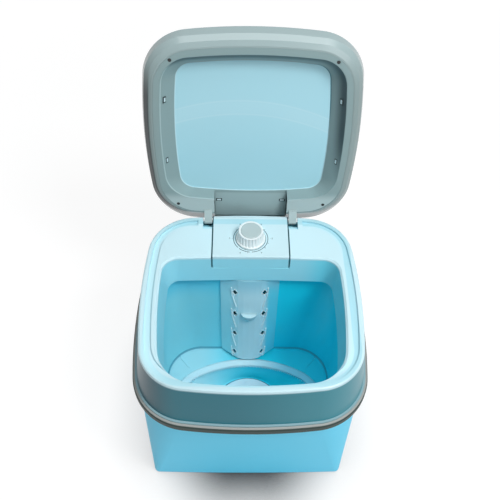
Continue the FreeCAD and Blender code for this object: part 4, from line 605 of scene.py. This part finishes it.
# %% Fluted grip
KNOB_SIDES = 96
FOOT_TALL = 0.0026
FOOT_LIP = 0.0014
CROWN = 0.0200
CAP_GAP = 0.0002
FLUTE_DEEP = 0.0010
low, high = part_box("timer_knob")
knob_x, knob_y, _ = middle(low, high)
knob_radius = (high[0] - low[0]) / 2
knob_top = high[2]
grip = start("knob_grip", bpy.ops.mesh.primitive_cylinder_add, vertices=KNOB_SIDES,
             radius=knob_radius, depth=FOOT_TALL,
             location=(knob_x, knob_y, low[2] + FOOT_TALL / 2))
pick(grip, lambda spot, normal: normal.z > 0.9)
bpy.ops.mesh.inset(thickness=FOOT_LIP)
extrude((0, 0, knob_top - low[2] - FOOT_TALL))
narrowing = CROWN / (knob_radius - FOOT_LIP)
bpy.ops.transform.resize(value=(narrowing, narrowing, 1),
                         center_override=(knob_x, knob_y, knob_top))
cap_low, cap_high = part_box("knob_cap")
cap_radius = (cap_high[0] - cap_low[0]) / 2
bpy.ops.mesh.inset(thickness=CROWN - cap_radius - CAP_GAP)
extrude((0, 0, cap_low[2] - CAP_GAP - knob_top))


def flute(spot, normal):
    turn = math.atan2(spot.y - knob_y, spot.x - knob_x) % math.tau
    side = int(turn / math.tau * KNOB_SIDES)
    away = math.hypot(spot.x - knob_x, spot.y - knob_y)
    on_cup = 0.0 < normal.z < 0.6 and away > cap_radius and spot.z > low[2] + FOOT_TALL
    return on_cup and side % 4 < 2


flutes = pick(grip, flute)
bpy.ops.mesh.inset(thickness=0.0003, depth=-FLUTE_DEEP)
bevel(grip, 0.00035, 25)
settle(grip, "knob_white", "knob", "timer_knob")
print("flutes:", flutes // 2)

# %% [markdown]
# ## The dial's print and the knob's painted shade
#
# Round the knob the panel carries a printed ring, ticks and the minutes of a wash. Ink is thin, so
# each mark is a flat face about a tenth of a millimetre thick. A ring comes from a disc
# whose middle is inset and deleted, and ticks are what is left of a finely divided ring. A dark
# ring made the same way close round the knob's foot is painted shade.

# %% Ring and ticks
panel_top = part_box("control_panel")[1][2]
INK = 0.00012


def printed_ring(name, outer, width, sides, keep):
    """A flat dark ring, of ink for the print and of painted shade at the knob's foot; keep(degrees
    from the back) says which sides stay.
    """
    ring = start(name, bpy.ops.mesh.primitive_circle_add, vertices=sides, radius=outer,
                 fill_type="NGON", location=(knob_x, knob_y, panel_top))
    bpy.ops.mesh.inset(thickness=width)

    def bare(spot, normal):
        away = math.hypot(spot.x - knob_x, spot.y - knob_y)
        turn = math.degrees(math.atan2(knob_x - spot.x, spot.y - knob_y)) % 360
        return away < outer - width or not keep(turn)

    pick(ring, bare)
    bpy.ops.mesh.delete(type="FACE")
    bpy.ops.mesh.select_all(action="SELECT")
    bpy.ops.mesh.normals_make_consistent(inside=False)
    modify(ring, "SOLIDIFY", thickness=INK, offset=1.0)
    return ring


DIAL_START = 30
DIAL_SWEEP = 300
DIAL_BREAKS = (135, 180)
line = printed_ring("dial_line", 0.0287, 0.0010, 120,
                    lambda turn: DIAL_START <= turn <= DIAL_START + DIAL_SWEEP
                    and all(abs(turn - gap) > 3 for gap in DIAL_BREAKS))
# Painted shade: a dark ring close round the knob's foot.
knob_foot_shade = printed_ring("knob_foot_shade", knob_radius + 0.0011, 0.0007, 120, lambda turn: True)
ticks = printed_ring("dial_ticks", 0.0310, 0.0018, 360,
                     lambda turn: DIAL_START - 1 <= turn <= DIAL_START + DIAL_SWEEP + 1
                     and (turn - DIAL_START + 0.5) % 20 < 1)
dial = join([line, knob_foot_shade, ticks], "dial_print_and_shade")
settle(dial, "knob_grey", "housing", finish="dial_ink_and_shade")

# %% [markdown]
# Numbers are text, made a mesh before it is put in its place. They stand upright for someone in
# front of the machine.

# %% Minutes
MINUTES = (0, 3, 6, 9, 12, 15)
NUMBER_RADIUS = 0.0345
NUMBER_TALL = 0.0042
numbers = []
for index, minute in enumerate(MINUTES):
    turn = math.radians(DIAL_START + DIAL_SWEEP * index / (len(MINUTES) - 1))
    bpy.ops.object.select_all(action="DESELECT")
    bpy.ops.object.text_add(location=(knob_x - NUMBER_RADIUS * math.sin(turn),
                                      knob_y + NUMBER_RADIUS * math.cos(turn), panel_top + INK / 2))
    word = bpy.context.object
    word.name = "minute_%d" % minute
    word.data.body = str(minute)
    word.data.size = NUMBER_TALL
    word.data.extrude = INK / 2
    word.data.align_x = "CENTER"
    word.data.align_y = "CENTER"
    bpy.ops.object.convert(target="MESH")
    bpy.ops.object.transform_apply(location=True, rotation=True, scale=True)
    numbers.append(bpy.context.object)
settle(join(numbers, "dial_numbers"), "knob_grey", "housing", finish="dial_ink_and_shade")

# %% [markdown]
# ## The filter's scallops
#
# The lint filter has eight kite-shaped holes. Each has a raised rim and a ridge that runs past it
# and away below, which stiffens the thin wall. Both start as flat strips in front of the column,
# are laid on it by a Shrinkwrap that looks along Y, and get their thickness from Solidify.

# %% Rims and ridges
HOLE_X = 0.025
HOLE_LOW = 0.1265
HOLE_PITCH = 0.058
HOLES = [(side * HOLE_X, HOLE_LOW + HOLE_PITCH * row) for side in (-1, 1) for row in range(4)]
column_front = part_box("lint_filter")[0][1]
COLUMN_FOOT = 0.1118
AHEAD_OF_COLUMN = 0.004
RIM_RADIUS = 0.0085
RIM_SHAPE = (0.68, 1, 1.15)
RIM_THICK = 0.0010
RIDGE_THICK = 0.0032
RIDGE = ((0.0060, 0.0110), (0.0052, -0.0040), (0.0030, -0.0160), (-0.0020, -0.0370))


def lay_on_column(piece, thick):
    bpy.ops.mesh.select_all(action="SELECT")
    bpy.ops.mesh.subdivide(number_cuts=3)
    modify(piece, "SHRINKWRAP", target=nodes["lint_filter"], wrap_method="PROJECT",
           use_project_y=True, use_positive_direction=True, use_negative_direction=False)
    modify(piece, "SOLIDIFY", thickness=thick, offset=0.0)


def hole_rim(name, x, z):
    rim = start(name, bpy.ops.mesh.primitive_circle_add, vertices=4, radius=RIM_RADIUS,
                fill_type="NGON", location=(x, column_front - AHEAD_OF_COLUMN, z),
                rotation=(math.radians(90), 0, 0))
    bpy.ops.transform.resize(value=RIM_SHAPE, center_override=(x, column_front, z))
    bpy.ops.mesh.inset(thickness=0.0010)
    pick(rim, lambda spot, normal: abs(spot.x - x) < 0.001 and abs(spot.z - z) < 0.001)
    bpy.ops.mesh.delete(type="FACE")
    lay_on_column(rim, RIM_THICK)
    return rim


def ridge(name, x, z):
    side = math.copysign(1, x)
    first = RIDGE[0]
    strip = start(name, bpy.ops.mesh.primitive_plane_add, size=(0.0008, 0.0005, 1),
                  rotation=(math.radians(90), 0, 0),
                  location=(x + side * first[0], column_front - AHEAD_OF_COLUMN, z + first[1]))
    bpy.ops.mesh.select_mode(type="EDGE")
    bpy.ops.mesh.select_all(action="DESELECT")
    shape = bmesh.from_edit_mesh(strip.data)
    lowest = min(shape.edges, key=lambda edge: edge.verts[0].co.z + edge.verts[1].co.z)
    lowest.select_set(True)
    bmesh.update_edit_mesh(strip.data)
    reach = z + first[1]
    for (from_x, _), (to_x, to_z) in zip(RIDGE, RIDGE[1:]):
        drop = max(z + to_z, COLUMN_FOOT) - reach
        if drop < -0.001:
            extrude((side * (to_x - from_x), 0, drop))
            reach += drop
    bpy.ops.mesh.select_mode(type="FACE")
    lay_on_column(strip, RIDGE_THICK)
    return strip


scallops = []
for index, (x, z) in enumerate(HOLES):
    scallops.append(hole_rim("rim_%d" % index, x, z))
    scallops.append(ridge("ridge_%d" % index, x, z))
bpy.ops.object.mode_set(mode="OBJECT")
# Painted highlight: the rims and ridges are painted paler than the column they stand on.
settle(join(scallops, "filter_scallops"), "filter_blue", "housing", finish="scallop_highlight")

# %% [markdown]
# ## The filter's catch
#
# A thumb catch holds the filter in its slot. It is a small scoop with a round belly and a hollow
# top. A stretched sphere is cut level at the top and flat at the back, its top face is inset and
# pressed in, and a Bevel rounds the lip.

# %% Thumb catch
CATCH_ASIDE = 0.0028
CATCH_OUT = 0.0035
CATCH_LIP = 0.0016
CATCH_HOLLOW = 0.0030
low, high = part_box("filter_latch")
low = [low[0] - CATCH_ASIDE, low[1] - CATCH_OUT, low[2]]
high = [high[0] + CATCH_ASIDE, high[1], high[2] + CATCH_OUT]
catch_top = ((low[0] + high[0]) / 2, high[1], high[2])
catch = start("catch_wedge", bpy.ops.mesh.primitive_uv_sphere_add, segments=32, ring_count=16,
              radius=1, location=catch_top,
              size=((high[0] - low[0]) / 2, high[1] - low[1], high[2] - low[2]))
for outward in ((0, 0, 1), (0, 1, 0)):
    bpy.ops.mesh.select_all(action="SELECT")
    bpy.ops.mesh.bisect(plane_co=catch_top, plane_no=outward, use_fill=True, clear_outer=True)
pick(catch, lambda spot, normal: normal.z > 0.9)
bpy.ops.mesh.inset(thickness=CATCH_LIP)
bpy.ops.transform.translate(value=(0, 0, -CATCH_HOLLOW))
bevel(catch, 0.0005, 40)
settle(catch, "latch_blue", "housing", "filter_latch")

# %% [markdown]
# ## The floor ring's teeth
#
# Fine teeth along the inner edge of the floor ring keep threads out of the pulsator's gap. One
# tooth is modelled and copied all round. A ray from the middle finds where the ring's edge is in
# each direction, so the teeth follow the oval.

# %% Teeth
TEETH = 168
UNDER_EDGE = 0.0008
low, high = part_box("floor_ring")
ring_x, ring_y, _ = middle(low, high)
ring_top = high[2]
tooth = start("tooth", bpy.ops.mesh.primitive_cube_add, size=(0.0022, 0.00075, 0.0009),
              location=(-0.0006, 0, -0.0009))
pick(tooth, lambda spot, normal: normal.z > 0.9)
bpy.ops.transform.resize(value=(0.9, 0.55, 1), center_override=(0.0014, 0, 0))
bpy.ops.object.mode_set(mode="OBJECT")
teeth = []
for index in range(TEETH):
    turn = math.tau * index / TEETH
    aim = Vector((math.cos(turn), math.sin(turn), 0))
    origin = Vector((ring_x, ring_y, ring_top - UNDER_EDGE))
    found, spot, normal, _ = nodes["floor_ring"].ray_cast(origin, aim)
    if found:
        away = -Vector((normal.x, normal.y, 0)).normalized()
        facing = Matrix.Rotation(math.atan2(away.y, away.x), 4, "Z")
        place = Matrix.Translation((spot.x, spot.y, ring_top)) @ facing
        teeth.append(copy_of(tooth, "tooth_%d" % index, place))
bpy.data.objects.remove(tooth)
settle(join(teeth, "ring_teeth"), "ring_white", "housing")
print("teeth:", len(teeth))

# %% [markdown]
# ## The tub floor's creases
#
# In each corner of the tub's floor a low rib runs from the wall towards the ring and stiffens the
# thin moulding. A narrow strip above the floor is laid on it by a Shrinkwrap that looks down.

# %% Floor ribs
RIB_ENDS = (((0.130, 0.050), (0.111, 0.028)), ((0.130, -0.127), (0.111, -0.107)))
RIB_HALF_WIDE = 0.0008
RIB_THICK = 0.0028
ABOVE_FLOOR = 0.2
ribs = []
for (far_x, far_y), (near_x, near_y) in RIB_ENDS:
    for side in (-1, 1):
        run = math.hypot(far_x - near_x, far_y - near_y)
        turn = math.atan2(far_y - near_y, side * (far_x - near_x))
        above = (side * (far_x + near_x) / 2, (far_y + near_y) / 2, ABOVE_FLOOR)
        rib = start("rib_%d" % len(ribs), bpy.ops.mesh.primitive_plane_add,
                    size=(run / 2, RIB_HALF_WIDE, 1), location=above, rotation=(0, 0, turn))
        bpy.ops.mesh.subdivide(number_cuts=7)
        modify(rib, "SHRINKWRAP", target=nodes["wash_tub"], wrap_method="PROJECT",
               use_project_z=True, use_positive_direction=False, use_negative_direction=True)
        modify(rib, "SOLIDIFY", thickness=RIB_THICK, offset=0.0)
        ribs.append(rib)
settle(join(ribs, "floor_ribs"), "tub_blue", "housing")

# %% [markdown]
# ## The window's clips
#
# Six moulded clips hold the pane in the lid's frame. Each is a small pad over a dark plate of
# painted shade in the slot round it. One pad and one dark plate are modelled lying flat and are
# copied to the six places, turned to face the way the wall does there. A ray finds the wall, cast
# a little to the side of the clip's opening.

# %% Pads and the shade round them
def flat_plate(name, wide, long, thick, dish):
    plate = start(name, bpy.ops.mesh.primitive_cube_add, size=(wide / 2, long / 2, thick / 2),
                  location=(0, 0, 0))
    pick(plate, lambda spot, normal: normal.z > 0.9)
    bpy.ops.mesh.inset(thickness=min(wide, long) * 0.18)
    bpy.ops.transform.translate(value=(0, 0, -dish))
    bevel(plate, thick * 0.2, 40)
    return plate


LID_FACE = Vector((0, -LID_COS, LID_SIN))
LID_UP = Vector((0, LID_SIN, LID_COS))
ASIDE = 0.009
LOW_CLIP = (0.053, 0.185, 0.405)
SIDE_CLIPS = ((0.2076, 0.5958), (0.1870, 0.4928))
CLIP_SPOTS = []
for side in (-1, 1):
    spot = Vector((side * LOW_CLIP[0], LOW_CLIP[1], LOW_CLIP[2])) + LID_FACE * 0.12
    CLIP_SPOTS.append((spot, -LID_FACE, Vector((-side, 0, 0))))
for side in (-1, 1):
    for y, z in SIDE_CLIPS:
        CLIP_SPOTS.append((Vector((0, y, z)), Vector((side, 0, 0)), LID_UP))
pad = flat_plate("pad", 0.0066, 0.0030, 0.0016, 0.0002)
# The dark plate under each pad is painted shade in the slot round the clip.
slot = flat_plate("slot", 0.0100, 0.0052, 0.0008, 0.0)
bpy.ops.object.mode_set(mode="OBJECT")
pads = []
gap_shades = []
for index, (clip, aim, along) in enumerate(CLIP_SPOTS):
    origin = clip + along * ASIDE
    hits = [nodes[name].ray_cast(origin, aim) for name in ("lid_frame", "lid_shell")]
    hits = [hit for hit in hits if hit[0]]
    _, beside, normal, _ = min(hits, key=lambda hit: (hit[1] - origin).length)
    spot = beside - along * ASIDE
    long_way = (along - normal * along.dot(normal)).normalized()
    basis = Matrix((long_way, normal.cross(long_way), normal)).transposed().to_4x4()
    place = Matrix.Translation(spot) @ basis
    pads.append(copy_of(pad, "pad_%d" % index, place))
    gap_shades.append(copy_of(slot, "slot_%d" % index, place))
    print("clip at", [round(v, 4) for v in spot])
bpy.data.objects.remove(pad)
bpy.data.objects.remove(slot)
settle(join(pads, "clip_pads"), "clip_grey", "lid", "window_clips")
settle(join(gap_shades, "clip_gap_shades"), "clip_grey", "lid", finish="gap_shade_dark")

# %% [markdown]
# ## The floor and the light
#
# The machine stands on a plain white floor in soft studio light. A soft lamp up on the right
# shapes the tub, a wide one overhead fills it, one in front lights the skirt, and the pale room
# fills the shade. The floor must look white without more lamp light, so for the rays that the eye
# sees it glows. It glows less where the machine is near, least in the pool of shade before the
# middle of its front, and its grey share still takes the machine's shadow.

# %% Floor, room and lamps
def seen_share(paint):
    """1 for the rays that show the background: straight, mirrored or through glass."""
    rays = [paint.node("ShaderNodeLightPath", out=kind)
            for kind in ("Is Camera Ray", "Is Glossy Ray", "Is Transmission Ray")]
    return paint.node("ShaderNodeMath", {"operation": "ADD", "use_clamp": True},
                      {0: rays[0] + rays[1], 1: rays[2]})


SHADE_REACH = 0.11
SHADE_DEPTH = 0.6
POOL_DEPTH = 1.75
POOL_START = (-0.115, -0.130)
POOL_SIDE = (0.17, 0.03)
FLOOR_NEAR = 0.6
FLOOR_FAR = 3.0


def grey(level):
    return (level, level, level, 1)


def white_floor():
    paint = new_paint("white_floor")
    matt = paint.node("ShaderNodeBsdfDiffuse", None,
                      {"Color": paint.blend(paint.noise(3.0), grey(0.80), grey(0.84))})
    open_sky = paint.node("ShaderNodeAmbientOcclusion", {"samples": 16},
                          {"Distance": SHADE_REACH}, out="AO")
    dark = 1 - open_sky
    ahead = paint.step(paint.axis(1), *POOL_START)
    ahead = ahead * paint.step(paint.absolute(paint.axis(0)), *POOL_SIDE)
    pool = paint.node("ShaderNodeMath", {"operation": "MULTIPLY", "use_clamp": True},
                      {0: dark * ahead, 1: POOL_DEPTH})
    away = paint.vector("LENGTH", paint.place(), out="Value")
    bright = 0.85 + paint.step(away, FLOOR_NEAR, FLOOR_FAR) * 0.13
    shown = bright * (1 - dark * SHADE_DEPTH) * (1 - pool)
    glow = paint.node("ShaderNodeEmission", None, {"Color": paint.blend(shown, grey(0), grey(1))})
    half = paint.node("ShaderNodeBsdfDiffuse", None,
                      {"Color": paint.blend(pool, grey(0.24), grey(0.075))})
    seen = paint.node("ShaderNodeAddShader", None, {0: half, 1: glow})
    return paint.shade(paint.node("ShaderNodeMixShader", None,
                                  {0: seen_share(paint), 1: matt, 2: seen}))


bpy.ops.object.select_all(action="DESELECT")
bpy.ops.mesh.primitive_plane_add(size=80.0, location=(0, 0, 0))
floor = bpy.context.object
floor.name = "floor"
floor.data.materials.append(white_floor())

ROOM_LIGHT = 0.22
room = Finish(bpy.data.worlds.new("room"))
strength = seen_share(room) * (1 - ROOM_LIGHT) + ROOM_LIGHT
room.shade(room.node("ShaderNodeBackground", None,
                     {"Color": (0.98, 0.99, 1.0, 1.0), "Strength": strength}),
           "ShaderNodeOutputWorld")
bpy.context.scene.world = room.owner


def lamp(name, place, target, size, power):
    data = bpy.data.lights.new(name, "AREA")
    data.shape = "DISK"
    data.size = size
    data.energy = power
    item = bpy.data.objects.new(name, data)
    bpy.context.scene.collection.objects.link(item)
    item.location = place
    item.rotation_euler = (Vector(target) - Vector(place)).to_track_quat("-Z", "Y").to_euler()


lamp("key", (0.75, -0.60, 2.0), (0, 0, 0.25), 0.5, 19.0)
lamp("overhead", (0.0, -0.25, 2.4), (0, 0, 0.25), 1.6, 16.5)
lamp("front_fill", (0.9, -1.9, 1.2), (0, 0, 0.3), 1.4, 10.5)
print("floor, room and three lamps")

# %% [markdown]
# ## The camera
#
# The eye stands in front of the machine and looks down at about 52 degrees. The place, turn and
# lens were worked out from the outline of the machine in the picture.

# %% Camera
FOCAL_PIXELS = 658.7
PICTURE_PIXELS = 500.0
SENSOR = 36.0
EYE_PLACE = (-0.0243, -0.5693, 1.2273)
yaw, pitch, roll = 0.035, 0.905, -0.0345
ahead = Vector((math.sin(yaw) * math.cos(pitch), math.cos(yaw) * math.cos(pitch), -math.sin(pitch)))
across = Vector((math.cos(yaw), -math.sin(yaw), 0.0))
down = ahead.cross(across)
right = across * math.cos(roll) + down * math.sin(roll)
under = down * math.cos(roll) - across * math.sin(roll)
lens = bpy.data.cameras.new("eye")
lens.sensor_width = SENSOR
lens.lens = FOCAL_PIXELS / PICTURE_PIXELS * SENSOR
lens.clip_end = 50.0
eye = bpy.data.objects.new("eye", lens)
bpy.context.scene.collection.objects.link(eye)
turn = Matrix((right, -under, -ahead)).transposed()
eye.matrix_world = Matrix.Translation(EYE_PLACE) @ turn.to_4x4()
bpy.context.scene.camera = eye
bpy.context.scene.view_settings.view_transform = "Standard"
print("lens", round(lens.lens, 1), "mm")
